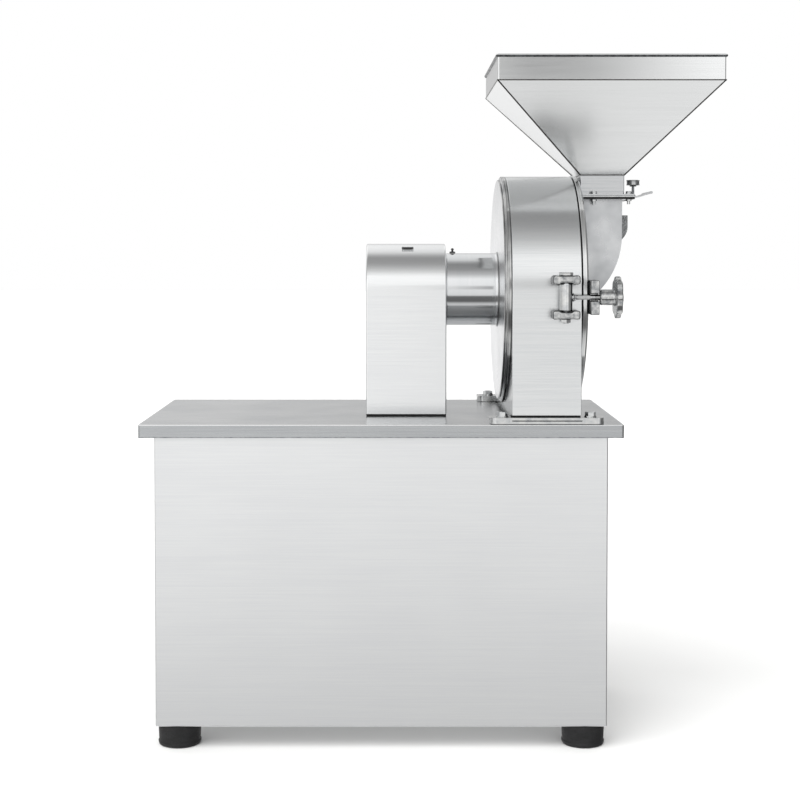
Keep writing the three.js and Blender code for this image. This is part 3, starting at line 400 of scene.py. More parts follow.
def turned_steel(name, centre, dark, light, rough, pitch, along_axis=False, depth=0.006):
    """Steel finished on a lathe about the shaft: fine rings on its faces, or fine hoops along a cylinder."""
    made, tree = new_finish(name)
    place = add(tree, "ShaderNodeTexCoord").outputs["Object"]
    apart = add(tree, "ShaderNodeSeparateXYZ", None, {"Vector": place})
    if along_axis:
        distance = apart.outputs["X"]
    else:
        across = add(tree, "ShaderNodeCombineXYZ", None, {"Y": apart.outputs["Y"], "Z": apart.outputs["Z"]})
        distance = add(tree, "ShaderNodeVectorMath", {"operation": "DISTANCE"}, {
            0: across.outputs["Vector"], 1: (0.0, centre[0] * MM, centre[1] * MM)}).outputs["Value"]
    rings = add(tree, "ShaderNodeTexNoise", {"noise_dimensions": "1D"}, {
        "W": distance, "Scale": 1 / (pitch * MM), "Detail": 3.0, "Roughness": 0.7}).outputs["Fac"]
    cloud = noise(tree, [45, 60, 60], 3.0, 0.55)
    both = calc(tree, "ADD", rings, ranged(tree, cloud, -0.15, 0.15))
    shaded(tree, {
        "Base Color": tone(tree, both, dark, light),
        "Metallic": 1.0,
        "Roughness": ranged(tree, both, rough[1], rough[0]),
        "Normal": bump(tree, rings, 0.2, depth),
    })
    return made


def buffed_steel(name, dark, light, rough, grit, depth):
    """Fittings ground and buffed by hand: bright, a little wavy, with dull patches in them."""
    made, tree = new_finish(name)
    wave = noise(tree, [grit] * 3, 3.0, 0.6)
    fine = noise(tree, [1.6] * 3, 2.0, 0.6, (4.0, 1.0, 8.0))
    shaded(tree, {
        "Base Color": tone(tree, wave, dark, light),
        "Metallic": 1.0,
        "Roughness": ranged(tree, wave, rough[1], rough[0]),
        "Normal": bump(tree, mixed(tree, 0.2, wave, fine), 0.4, depth),
    })
    return made


def rubber(name, dark, light, rough, grain):
    """Moulded nitrile rubber: nearly black, a soft sheen, a fine mould texture and a little dust."""
    made, tree = new_finish(name)
    skin = noise(tree, [grain] * 3, 3.0, 0.6)
    dust = noise(tree, [30, 30, 12], 3.0, 0.6, (2.0, 5.0, 1.0))
    shaded(tree, {
        "Base Color": tone(tree, dust, dark, light),
        "Roughness": ranged(tree, skin, rough[0], rough[1]),
        "Specular IOR Level": 0.45,
        "Normal": bump(tree, skin, 0.4, 0.08),
    })
    return made


def phenolic(name, dark, light):
    """Compression-moulded phenolic: black, glossy, with faint flow marks and handling scuffs."""
    made, tree = new_finish(name)
    flow = noise(tree, [8, 8, 3], 3.0, 0.6)
    scuff = noise(tree, [0.8, 6, 0.8], 2.0, 0.7, (1.0, 3.0, 2.0))
    shaded(tree, {
        "Base Color": tone(tree, flow, dark, light),
        "Roughness": ranged(tree, scuff, 0.16, 0.34),
        "IOR": 1.6,
        "Coat Weight": 0.25,
        "Normal": bump(tree, flow, 0.15, 0.05),
    })
    return made


def enamel(name, dark, light):
    """Satin enamel sprayed over a casting: orange peel, and the casting's sand texture under it."""
    made, tree = new_finish(name)
    peel = noise(tree, [1.8] * 3, 2.0, 0.5)
    sand = noise(tree, [6] * 3, 4.0, 0.65, (3.0, 1.0, 4.0))
    dust = noise(tree, [60, 60, 30], 3.0, 0.6, (8.0, 2.0, 3.0))
    shaded(tree, {
        "Base Color": tone(tree, dust, dark, light),
        "Roughness": ranged(tree, peel, 0.38, 0.55),
        "IOR": 1.5,
        "Normal": bump(tree, mixed(tree, 0.5, peel, sand), 0.5, 0.12),
    })
    return made


def sand_cast(name, dark, light):
    """A small grey-iron casting left as it came from the sand: dark, gritty, with pits."""
    made, tree = new_finish(name)
    grit = noise(tree, [2.2] * 3, 3.0, 0.7)
    shaded(tree, {
        "Base Color": tone(tree, grit, dark, light),
        "Metallic": 0.85,
        "Roughness": ranged(tree, grit, 0.65, 0.4),
        "Normal": bump(tree, grit, 0.8, 0.6),
    })
    return made


SHAFT = tuple(middle(span) for span in extent("door_disc")[1:])  # across X: the shaft's Y and Z

# Name, grain, dark and light, roughness, line width and depth in millimetres, and how much handling shows.
SHEET_X = brushed_steel("brushed_304_sheet_grain_x", "x", "#cfd1d2", "#d8d9d9", (0.2, 0.25), 1.4, 0.002)
SHEET_Z = brushed_steel("brushed_304_sheet_grain_z", "z", "#d0d2d3", "#d4d5d6", (0.24, 0.28), 1.6, 0.001)
SHEET_Y = brushed_steel("brushed_304_sheet_grain_y", "y", "#c9cbcc", "#d8d9d9", (0.2, 0.27), 1.4, 0.003)
CABINET_SHEET = brushed_steel("brushed_304_cabinet_sheet", "x", "#dfe0e1", "#e3e4e4", (0.3, 0.34), 2.4, 0.001)
# The table top is darker than the other sheet: painted shade and dark reflection on the table top.
TABLE_SHEET = brushed_steel(
    "brushed_304_table_sheet", "x", "#b6b8ba", "#c9cacb", (0.2, 0.25), 2.4, 0.0015, 0.2)
# The bend along the table's top edge is near white: painted highlight.
TABLE_BEND_HIGHLIGHT = brushed_steel("table_bend_painted_highlight", "x", "#f2f3f3", "#f7f7f7", (0.2, 0.24), 2.4, 0.0005)
# The skirt is a darker copy of the table sheet: painted shade on the skirt's front.
TABLE_SKIRT_SHADE = brushed_steel("brushed_304_table_skirt_painted_shade", "x", "#a9abad", "#b0b2b3", (0.24, 0.3), 2.4, 0.001)
GUARD_SHEET = brushed_steel("brushed_304_guard_sheet", "x", "#d9dadb", "#dedfdf", (0.17, 0.2), 2.4, 0.001)
HOPPER_SHEET = brushed_steel("brushed_304_hopper_sheet", "x", "#dadbdb", "#dedfdf", (0.13, 0.16), 2.4, 0.0007)
# A darker copy of the hopper sheet: painted shade on the hopper's neck under the cone and on the slide gate.
NECK_SHADED_SHEET = brushed_steel(
    "brushed_304_neck_sheet_painted_shade", "x", "#b0b2b4", "#c6c7c8", (0.22, 0.28), 1.6, 0.0015, 0.16)
CONE_SHEET = brushed_steel("brushed_304_cone_sheet", "x", "#dadbdb", "#dedfdf", (0.22, 0.26), 2.4, 0.001)
# Name, axis, dark and light, roughness, pitch of the tool marks, whether they are hoops, and their depth.
TUBE = turned_steel("drawn_tube_polished", SHAFT, "#cfd1d2", "#d3d4d5", (0.09, 0.11), 9.0, True, 0.0004)
# The back plate's rim: its turned rings are real, its dark tone is painted dark reflection.
RIM_DARK_REFLECTION = turned_steel("turned_rim_painted_dark_reflection", SHAFT, "#4e5052", "#c9c9c8", (0.1, 0.2), 2.6, True)
DOOR_RIM = turned_steel("turned_bright_rim", SHAFT, "#c3c5c6", "#dfdfde", (0.12, 0.18), 3.0, True)
DISC_FACE = turned_steel("turned_satin_disc_face", SHAFT, "#dcddde", "#e4e4e5", (0.26, 0.32), 3.0)
MACHINED = turned_steel("machined_steel", SHAFT, "#83868a", "#b4b6b8", (0.22, 0.38), 1.8)
# Name, dark and light, roughness, size of the patches and depth of the waves in millimetres.
# The chute's sheet is darker than the rest: painted shade on the chute; its large patches are random.
CHUTE_SHADED_SHEET = buffed_steel("satin_304_chute_sheet_painted_shade", "#9fa1a3", "#cdcecf", (0.24, 0.34), 85.0, 0.004)
CLAMP_STEEL = buffed_steel("ground_clamp_forging", "#7b7e81", "#d8d8d6", (0.13, 0.24), 10.0, 0.05)
# A dark finish that is painted shade: on the sides of the clamp parts and under the hopper's rolled rim.
PAINTED_SHADE_EDGE = buffed_steel("painted_shade_edge", "#232425", "#6a6c6e", (0.25, 0.45), 6.0, 0.1)
BUFFED = buffed_steel("buffed_steel_fittings", "#b4b6b8", "#d2d2d0", (0.1, 0.18), 14.0, 0.03)
PLATED = buffed_steel("bright_zinc_plate", "#bcbec0", "#dcdddc", (0.12, 0.2), 14.0, 0.02)
FORGED = buffed_steel("ground_forging", "#6f7276", "#a6a8aa", (0.28, 0.46), 7.0, 0.06)
SEAM = buffed_steel("heat_tinted_weld", "#3d3c3b", "#6c6a68", (0.25, 0.4), 5.0, 0.08)
FOOT_RUBBER = rubber("nitrile_rubber_feet", "#0e0e0f", "#1e1e1f", (0.5, 0.75), 2.5)
SEAL_RUBBER = rubber("sealing_rubber_sheet", "#0b0b0c", "#191919", (0.55, 0.8), 1.6)
BELT_RUBBER = rubber("fabric_faced_belt_rubber", "#131314", "#2a2a2b", (0.6, 0.85), 1.2)
KNOB = phenolic("phenolic_knob", "#08080a", "#1b1b1e")
MOTOR_PAINT = enamel("grey_enamel_on_casting", "#4b5559", "#5f6a6f")
CASTING = sand_cast("sand_cast_iron", "#48494a", "#b2b4b5")


# ---------------------------------------------------------------- repeated things, grown by nodes


def node_tree(name, inputs):
    """An empty geometry tree with named inputs. Returns the tree, its input node and its output node."""
    tree = bpy.data.node_groups.new(name, "GeometryNodeTree")
    tree.interface.new_socket("Geometry", in_out="INPUT", socket_type="NodeSocketGeometry")
    for label, value in inputs.items():
        kind = {int: "NodeSocketInt", float: "NodeSocketFloat", tuple: "NodeSocketVector"}.get(type(value))
        tree.interface.new_socket(label, in_out="INPUT", socket_type=kind or "NodeSocketMaterial")
    tree.interface.new_socket("Geometry", in_out="OUTPUT", socket_type="NodeSocketGeometry")
    return tree, add(tree, "NodeGroupInput").outputs, add(tree, "NodeGroupOutput")


def finished_tree(tree, output, geometry, finish):
    """Ends a tree: real copies, the finish, the output."""
    real = add(tree, "GeometryNodeRealizeInstances", None, {"Geometry": geometry})
    coloured = add(tree, "GeometryNodeSetMaterial", None, {"Geometry": real.outputs[0], "Material": finish})
    tree.links.new(coloured.outputs[0], output.inputs[0])
    return tree


def grown(tree, inputs, base):
    """Runs a tree on a base shape and returns the result as a shape in millimetres."""
    mesh = bpy.data.meshes.new("base")
    moved(base, Matrix.Scale(MM, 4)).to_mesh(mesh)
    base.free()
    made = bpy.data.objects.new("base", mesh)
    bpy.context.scene.collection.objects.link(made)
    modifier = made.modifiers.new("grow", "NODES")
    modifier.node_group = tree
    sockets = {s.name: s.identifier for s in tree.interface.items_tree if s.in_out == "INPUT"}
    for label, value in inputs.items():
        modifier[sockets[label]] = value
    bpy.context.view_layer.update()
    graph = bpy.context.evaluated_depsgraph_get()
    result = bmesh.new()
    result.from_mesh(bpy.data.meshes.new_from_object(made.evaluated_get(graph)))
    bpy.data.objects.remove(made)
    moved(result, Matrix.Scale(1 / MM, 4))
    return outward(result)


def points(places):
    """Loose points."""
    bm = bmesh.new()
    for place in places:
        bm.verts.new(place)
    return bm


def bolt_tree():
    """Hexagon bolts standing on points: washer, head with its turned top, and a shank below."""
    tree, given, output = node_tree("hexagon_bolts", {
        "Head Radius": 0.0, "Head Height": 0.0, "Washer Radius": 0.0, "Washer Height": 0.0,
        "Shank Radius": 0.0, "Shank Length": 0.0, "Turn": (0.0, 0.0, 0.0), "Finish": None,
    })

    def bar(vertices, radius, height, centre_factor, base):
        solid = add(tree, "GeometryNodeMeshCylinder", None, {
            "Vertices": vertices, "Radius": radius, "Depth": height})
        lift = calc(tree, "ADD", calc(tree, "MULTIPLY", height, centre_factor), base)
        offset = add(tree, "ShaderNodeCombineXYZ", None, {"Z": lift})
        return add(tree, "GeometryNodeTransform", None, {
            "Geometry": solid.outputs["Mesh"], "Translation": offset.outputs[0]}).outputs[0]

    top = calc(tree, "ADD", given["Washer Height"], given["Head Height"])
    face, tip = (calc(tree, "MULTIPLY", given["Head Radius"], share) for share in (0.8, 0.72))
    crown = add(tree, "GeometryNodeMeshCone", None, {
        "Vertices": 24, "Radius Top": tip, "Radius Bottom": face, "Depth": 0.0006})
    lifted = add(tree, "GeometryNodeTransform", None, {
        "Geometry": crown.outputs["Mesh"],
        "Translation": add(tree, "ShaderNodeCombineXYZ", None, {"Z": top}).outputs[0]}).outputs[0]
    joined = add(tree, "GeometryNodeJoinGeometry")
    for part in (
        lifted,
        bar(24, given["Washer Radius"], given["Washer Height"], 0.5, 0.0),
        bar(6, given["Head Radius"], given["Head Height"], 0.5, given["Washer Height"]),
        bar(16, given["Shank Radius"], given["Shank Length"], -0.5, 0.0),
    ):
        tree.links.new(part, joined.inputs[0])
    placed = add(tree, "GeometryNodeInstanceOnPoints", None, {
        "Points": given["Geometry"], "Instance": joined.outputs[0]})
    turn = add(tree, "FunctionNodeEulerToRotation", None, {"Euler": given["Turn"]})
    tree.links.new(turn.outputs[0], placed.inputs["Rotation"])
    return finished_tree(tree, output, placed.outputs[0], given["Finish"])


BOLTS = bolt_tree()


def bolts(places, head, washer, shank, turn=(0.0, 0.0, 0.0), finish=PLATED):
    """Bolts at places; head, washer and shank are (radius, length) in millimetres."""
    return grown(BOLTS, {
        "Head Radius": head[0] * MM, "Head Height": head[1] * MM,
        "Washer Radius": washer[0] * MM, "Washer Height": washer[1] * MM,
        "Shank Radius": shank[0] * MM, "Shank Length": shank[1] * MM,
        "Turn": turn, "Finish": finish,
    }, points(places))


def ring_tree():
    """Copies of a base shape round the X axis through a centre."""
    tree, given, output = node_tree("copies_round_an_axis", {
        "Count": 0, "Centre": (0.0, 0.0, 0.0), "First": 0.0, "Step": 0.0, "Finish": None})
    line = add(tree, "GeometryNodePoints", None, {"Count": given["Count"], "Position": given["Centre"]})
    number = add(tree, "GeometryNodeInputIndex").outputs[0]
    turn = calc(tree, "MULTIPLY_ADD", number, given["Step"], given["First"])
    angles = add(tree, "ShaderNodeCombineXYZ", None, {"X": turn})
    rotation = add(tree, "FunctionNodeEulerToRotation", None, {"Euler": angles.outputs[0]})
    placed = add(tree, "GeometryNodeInstanceOnPoints", None, {
        "Points": line.outputs[0], "Instance": given["Geometry"], "Rotation": rotation.outputs[0]})
    return finished_tree(tree, output, placed.outputs[0], given["Finish"])


RING = ring_tree()


def ringed(shape, count, centre, finish, first=0.0):
    """Copies of a shape, drawn about the X axis through the origin, spaced evenly round a centre."""
    return grown(RING, {
        "Count": count, "Centre": tuple(c * MM for c in centre), "First": first,
        "Step": 2 * math.pi / count, "Finish": finish,
    }, shape)


def row_tree():
    """Copies of another object's shape at the points. Returns the tree and the node that names the object."""
    tree, given, output = node_tree("copies_at_points", {"Finish": None})
    seed = add(tree, "GeometryNodeObjectInfo", {"transform_space": "RELATIVE"})
    placed = add(tree, "GeometryNodeInstanceOnPoints", None, {
        "Points": given["Geometry"], "Instance": seed.outputs["Geometry"]})
    return finished_tree(tree, output, placed.outputs[0], given["Finish"]), seed


def repeated(shape, places, finish):
    """Copies of a shape, drawn about the origin, at each place."""
    mesh = bpy.data.meshes.new("seed")
    moved(shape, Matrix.Scale(MM, 4)).to_mesh(mesh)
    shape.free()
    seed = bpy.data.objects.new("seed", mesh)
    bpy.context.scene.collection.objects.link(seed)
    tree, info = row_tree()
    info.inputs["Object"].default_value = seed
    result = grown(tree, {"Finish": finish}, points(places))
    bpy.data.objects.remove(seed)
    return result


# ---------------------------------------------------------------- cabinet, table and feet


def build_cabinet():
    x, y, z = extent("cabinet_shell")
    shell = cad("cabinet_shell")

    def on_corner(v):
        return all(min(abs(v.co[i] - s) for s in span) < 0.1 for i, span in enumerate((x, y)))

    bevel(shell, [e for e in shell.edges if all(map(on_corner, e.verts))], 2.9, 4)
    dressed("cabinet_shell", "folded", shell, "root", "brushed_stainless", CABINET_SHEET)

    x, y, z = extent("table_top")
    top = cad("table_top")
    bend = 5

    def on_outline(v):
        return min(min(abs(v.co.x - s) for s in x), min(abs(v.co.y - s) for s in y)) < bend + 0.2

    def area(face):
        """The flat top, the skirt, or the bend between them: the skirt takes painted shade, the bend a
        painted highlight.
        """
        slope = abs(face.normal.z)
        return 1 if slope < 0.1 else 0 if slope > 0.98 else 2

    upper = [e for e in top.edges if all(abs(v.co.z - z[1]) < 0.1 and on_outline(v) for v in e.verts)]
    bevel(top, upper, bend, 6)
    # A dark strip along the bottom edge of the skirt: painted shadow line under the table.
    low, high = z[0] - 0.4, z[0] + 1.1
    outer, inner = 0.1, -2.6
    shadow_strip = loops([level(x, y, outer, low, 5), level(x, y, outer, high, 5),
                 level(x, y, inner, high, 3), level(x, y, inner, low, 3)])
    piece("table_skirt_hem", shadow_strip, "root", "brushed_stainless", FORGED)
    finishes = TABLE_SHEET, TABLE_SKIRT_SHADE, TABLE_BEND_HIGHLIGHT
    dressed("table_top", "folded", top, "root", "brushed_stainless", *finishes, pick=area)

    for side in ("near", "far"):
        for end in ("left", "right"):
            build_foot(f"foot_{side}_{end}")


def build_foot(node):
    """A moulded rubber foot: a slight taper, a rounded sole with a bead above it, and a recess in its sole.
    """
    x, y, z = extent(node)
    radius = (x[1] - x[0]) / 2
    shape = spun([
        (0, 6, 0), (radius - 24, 6, 2), (radius - 24, 0, 2), (radius - 1.2, 0, 4), (radius, 7, 2),
        (radius - 1.4, 9, 1), (radius - 0.4, z[1] - 8, 1), (radius, z[1] - 6, 1), (radius, z[1], 1.6),
        (0, z[1], 0)], 80, 4, "z", (middle(x), middle(y)))
    dressed(node, "moulded", shape, "root", "black_rubber", FOOT_RUBBER)


# ---------------------------------------------------------------- belt guard and bearing housing


def arch_outline(radius, bottom, steps=72):
    """A half circle about the shaft on straight sides, as (Y, Z)."""
    y, z = SHAFT
    return arc((y, z), radius, 0, 180, steps) + [(y - radius, bottom), (y + radius, bottom)]


def arch(radius, bottom, x, steps, edge, edge_steps):
    """A solid arch along X, the edges of its two faces rounded except along the bottom."""
    solid = prism("x", arch_outline(radius, bottom, steps), *x)
    rim = [e for e in solid.edges if abs(e.verts[0].co.x - e.verts[1].co.x) < 0.01
           and not all(abs(v.co.z - bottom) < 0.01 for v in e.verts)]
    return bevel(solid, rim, edge, edge_steps)


def build_guard():
    x, y, z = extent("belt_guard")
    radius = (y[1] - y[0]) / 2
    bottom = extent("table_top")[2][1] + 3.8
    low = bottom - 3.6
    sheet = 3
    inside = prism("x", arch_outline(radius - sheet, bottom - 5), x[0] + sheet, x[1] - sheet)
    cap = extent("bearing_cap")[1]
    hole = cylinder(middle(cap) - cap[0] + 2, x[1] - 8, x[1] + 8)
    cover = carved(arch(radius, bottom, x, 72, 3.2, 5), inside, hole)
    tabs = [
        block((left, left + 20), (edge - 1.5, edge + 1.5), (low, bottom + 14), 0.4)
        for left in (x[0] + sheet + 0.5, x[1] - sheet - 20.5)
        for edge in (y[0] + sheet + 1.5, y[1] - sheet - 1.5)
    ]
    dressed("belt_guard", "sheet", together(cover, *tabs), "root", "brushed_stainless", GUARD_SHEET)
    # A black rubber strip fills the gap under the guard: it paints the shadow line along the guard's foot.
    high = bottom - 0.2
    strip = loops([
        level(x, y, by, height, radius) for by, height, radius in
        ((-0.9, low, 3), (-0.4, bottom - 2, 3), (-0.9, high, 3), (-5, high, 1), (-5, low, 1))])
    piece("guard_edge_seal", strip, "root", "seal_rubber", SEAL_RUBBER)

    # A small strap catch on the crown: a plate, two bent ears and a black cross bar.
    seat = Matrix.Translation((middle(x) + 3, *SHAFT)) @ Matrix.Rotation(math.radians(26), 4, "X")
    plate = block((-11, 11), (-7, 6), (radius - 0.6, radius + 1.2), 0.5)
    ear = filleted([(-6, radius, 0), (3, radius, 1), (1, radius + 4.6, 2), (-4, radius + 4.6, 2)], 3)
    ears = [prism("x", ear, side - 0.9, side + 0.9, 0.3, 2) for side in (-9, 9)]
    piece("guard_catch_plate", moved(together(plate, *ears), seat), "root", "plated_steel", PLATED)
    bar = spun([(0, -11, 0), (2, -11, 0.6), (2, 11, 0.6), (0, 11, 0)], 24, 3, "x", (-3.6, radius + 2.6))
    piece("guard_catch_bar", moved(bar, seat), "root", "black_plastic", KNOB)


def build_housing():
    x, y, z = extent("bearing_housing")
    radius = (y[1] - y[0]) / 2
    bore = 40.3
    shape = spun([
        (bore, x[0], 1), (radius - 0.6, x[0], 1.2), (radius, x[0] + 3, 1), (radius, x[1] - 5, 2),
        (radius + 0.6, x[1] - 2.5, 1), (radius + 0.6, x[1], 0.6), (bore, x[1], 1)], 160, 4)
    dressed("bearing_housing", "tube", shape, "root", "brushed_stainless", TUBE)
    size, face = 2.6, x[1] + 0.25
    bead = turned("x", SHAFT, [
        (radius + size * math.sin(a) + 0.3, face - size * (1 - math.cos(a)))
        for a in (k * math.pi / 16 for k in range(9))
    ] + [(radius - 3, x[1] - size), (radius - 3, face)], 160)
    piece("housing_weld_bead", bead, "root", "brushed_stainless", BUFFED)

    x, y, z = extent("grease_nipple")
    base = z[0]
    shape = spun([
        (radius, base + height, fillet) for radius, height, fillet in (
            (0, 0, 0), (5.6, 0, 0.3), (5.6, 2.6, 0.8), (2.2, 3.6, 0.3), (1.7, 5.2, 0.3),
            (3, 6.4, 0.4), (2.6, 8.2, 0.6), (1.2, 9.5, 0.3), (0, 9.5, 0))
    ], 32, 3, "z", (middle(x), middle(y)))
    dressed("grease_nipple", "turned", shape, "root", "black_plastic", KNOB)

    for node in ("ball_bearing_rear", "ball_bearing_front"):
        x, y, z = extent(node)
        outer = (y[1] - y[0]) / 2
        inner = 20.3
        mid = (outer + inner) / 2
        races = [
            spun([(a, x[0], 0.6), (b, x[0], 0.6), (b, middle(x) - 3.5, 0.3), (b + dip, middle(x), 2),
                  (b, middle(x) + 3.5, 0.3), (b, x[1], 0.6), (a, x[1], 0.6)])
            for a, b, dip in ((outer, mid + 3.4, 1.6), (inner, mid - 3.4, -1.6))
        ]
        ball = bmesh.new()
        bmesh.ops.create_uvsphere(ball, u_segments=20, v_segments=12, radius=4.9)
        moved(ball, Matrix.Translation((0, 0, mid)))
        balls = ringed(ball, 10, (middle(x), *SHAFT), MACHINED)
        dressed(node, "races", together(*races, balls), "root", "ground_steel", MACHINED)

    x, y, z = extent("bearing_cap")
    outer = (y[1] - y[0]) / 2
    cap = spun([
        (20.6, x[0], 0.8), (outer - 8, x[0], 1.5), (outer - 6, x[0] + 2.5, 1.5), (outer, x[0] + 3.5, 1.2),
        (outer, x[1], 0.6), (20.6, x[1], 0.8)], 96, 4)
    dressed("bearing_cap", "turned", cap, "root", "ground_steel", MACHINED)
    x, y, z = extent("shaft_seal")
    inner, outer = 20.7, 23.6
    lips = spun([
        (inner, x[0], 0.6), (outer, x[0], 0.6), (outer, x[1], 0.6), (inner, x[1], 0.6),
        (22.0, middle(x) + 1.5, 0.8), (22.0, middle(x) - 1.5, 0.8)], 64)
    dressed("shaft_seal", "lips", lips, "root", "seal_rubber", SEAL_RUBBER)


# ---------------------------------------------------------------- grinding chamber


def build_chamber():
    x, y, z = extent("chamber_back_plate")
    radius = (y[1] - y[0]) / 2
    bore = 24
    shape = spun([
        (bore, x[0], 1), (radius - 6, x[0], 2.2), (radius - 6, x[0] + 4.6, 0.8), (radius, x[0] + 5.4, 2),
        (radius, x[1], 1), (bore, x[1], 1)], 200, 5)
    # The rim takes the dark rim finish, painted dark reflection; the flat faces take the satin face finish.
    dressed("chamber_back_plate", "turned", shape, "root", "polished_stainless", RIM_DARK_REFLECTION, DISC_FACE,
            pick=flat_or_rim)

    x, y, z = extent("chamber_casing")
    bottom = extent("casing_seal")[2][1] - 2.6
    wall = 3
    spout_x = (x[0] + 6.7, x[1] - 7)
    spout_y = (SHAFT[0] - radius + 39, SHAFT[0] + radius - 39)
    outlet = level(spout_x, spout_y, -wall, 0, 0)
    shell = carved(
        arch(radius, bottom, x, 144, 1.3, 3),
        prism("x", arch_outline(radius - 5, bottom + 4, 144), x[0] + 2.7, x[1] - 3),
        cylinder(radius - 30, x[1] - 6, x[1] + 4, 144),
        cylinder(40, x[0] - 4, x[0] + 6),
        block(outlet[0], outlet[1], (bottom - 40, bottom + 8)))
    spout = loops([
        level(spout_x, spout_y, 0, z[0], 2), level(spout_x, spout_y, 0, bottom + 1, 2),
        level(spout_x, spout_y, -wall, bottom + 1, 1), level(spout_x, spout_y, -wall, z[0], 1)])
    dressed("chamber_casing", "sheet", together(shell, spout), "root", "brushed_stainless", SHEET_X)

    strip = softened("casing_seal", 0.6)
    x, y, z = extent("casing_seal")
    for v in strip.verts:
        v.co.x += math.copysign(1.5, middle(x) - v.co.x)
        v.co.y += math.copysign(1.5, middle(y) - v.co.y)
    dressed("casing_seal", "strip", strip, "root", "seal_rubber", SEAL_RUBBER)

    nodes = [f"anchor_bolt_{side}_{end}" for side in ("near", "far") for end in ("left", "right")]
    base = extent("foot_flange_near")[2][1] + 0.15
    places = [(middle(box[0]), middle(box[1]), base) for box in map(extent, nodes)]
    shape = bolts(places, (9.8, 6.6), (11, 1.6), (5, 14))
    piece("anchor_bolts", shape, "root", "plated_steel", PLATED, replaces=nodes)

    x, y, z = extent("door_gasket")
    outer = (y[1] - y[0]) / 2
    gasket = ring(outer - 19, outer, x, 0.5, 160, 2)
    dressed("door_gasket", "ring", gasket, "root", "seal_rubber", SEAL_RUBBER)
    build_screen()


def flat_or_rim(face):
    """The second finish for the flat faces of a disc, the first for its turned rim."""
    return 1 if abs(face.normal.x) > 0.97 else 0


def build_screen():
    """The perforated screen: punched cells on a flat sheet, rolled into a ring."""
    x, y, z = extent("screen_ring")
    outer = (y[1] - y[0]) / 2
    wall = 1.5
    columns, rows = 84, 10
    width = (x[1] - x[0] - 8) / rows
    hole = 3.2
    cell = bmesh.new()
    pitch = 2 * math.pi / columns

    def place(u, v, radius):
        return (u, radius * math.sin(v * pitch), radius * math.cos(v * pitch))

    square = [(0.5, 0), (0.5, 0.5), (0, 0.5), (-0.5, 0.5), (-0.5, 0), (-0.5, -0.5), (0, -0.5), (0.5, -0.5)]
    rings = []
    for radius in (outer, outer - wall):
        edge = [cell.verts.new(place(a * width, b, radius)) for a, b in square]
        arc_length = pitch * radius
        bore = [
            cell.verts.new(place(hole * math.cos(t), hole * math.sin(t) / arc_length, radius))
            for t in (k * math.pi / 4 for k in range(8))
        ]
        rings.append((edge, bore))
    for edge, bore in rings:
        for k in range(8):
            cell.faces.new([edge[k], edge[(k + 1) % 8], bore[(k + 1) % 8], bore[k]])
    for k in range(8):
        cell.faces.new([rings[0][1][k], rings[0][1][(k + 1) % 8], rings[1][1][(k + 1) % 8], rings[1][1][k]])
    sheets = []
    for row in range(rows):
        copy = cell.copy()
        moved(copy, Matrix.Translation((x[0] + 4 + (row + 0.5) * width, 0, 0)))
        sheets.append(copy)
    cell.free()
    strip = together(*sheets)
    bmesh.ops.remove_doubles(strip, verts=strip.verts, dist=0.01)
    screen = ringed(strip, columns, (0, *SHAFT), SHEET_X)
    bmesh.ops.remove_doubles(screen, verts=screen.verts, dist=0.01)
    bmesh.ops.recalc_face_normals(screen, faces=screen.faces)
    hoops = [ring(outer - wall - 1, outer, (a, a + 4.3), 0.4, 168, 2) for a in (x[0], x[1] - 4.3)]
    dressed("screen_ring", "perforated", together(screen, *hoops), "root", "brushed_stainless", SHEET_X)


def build_rotor():
    x, y, z = extent("spindle")
    cap = extent("bearing_cap")[0]
    hub_x, hub_y, _ = extent("rotor_disc")
    shaft = spun([
        (0, x[0], 0), (16, x[0], 1.5), (16, cap[0], 0.5), (20, cap[0], 0.8), (20, hub_x[0] - 0.3, 0.8),
        (17, hub_x[0] - 0.3, 0.5), (17, x[1], 1.8), (0, x[1], 0)], 72)
    dressed("spindle", "ground", shaft, "rotor", "ground_steel", MACHINED)
    build_pulley("spindle_pulley", "rotor", SHAFT, 16.3)

    bore = 17.3
    rim = (hub_y[1] - hub_y[0]) / 2
    web = hub_x[0] + 14
    shape = spun([
        (bore, hub_x[0], 0.8), (32, hub_x[0], 2), (32, web, 3), (rim, web, 1.5), (rim, hub_x[1], 1.5),
        (bore, hub_x[1], 0.8)], 160, 4)
    dressed("rotor_disc", "turned", shape, "rotor", "ground_steel", MACHINED)
    head = [(0, 0, 0), (6, 0, 0.3), (6, 5, 1), (3.2, 5, 0.2), (3.2, 2, 0.2), (0, 2, 0)]
    screw = spun(head, 24, 3, "x", (0, 92))
    face = extent("hammer_1")[0][0] + 12.2
    screws = ringed(screw, 4, (face, *SHAFT), PLATED, math.pi / 4)
    piece("hammer_screws", screws, "rotor", "plated_steel", PLATED)

    x, y, z = extent("rotor_nut")
    nut = carved(hexagon(SHAFT, 25, *x, 1.2, axis="x"), cylinder(bore, x[0] - 2, x[1] + 2, 48))
    dressed("rotor_nut", "hexagon", nut, "rotor", "plated_steel", PLATED)


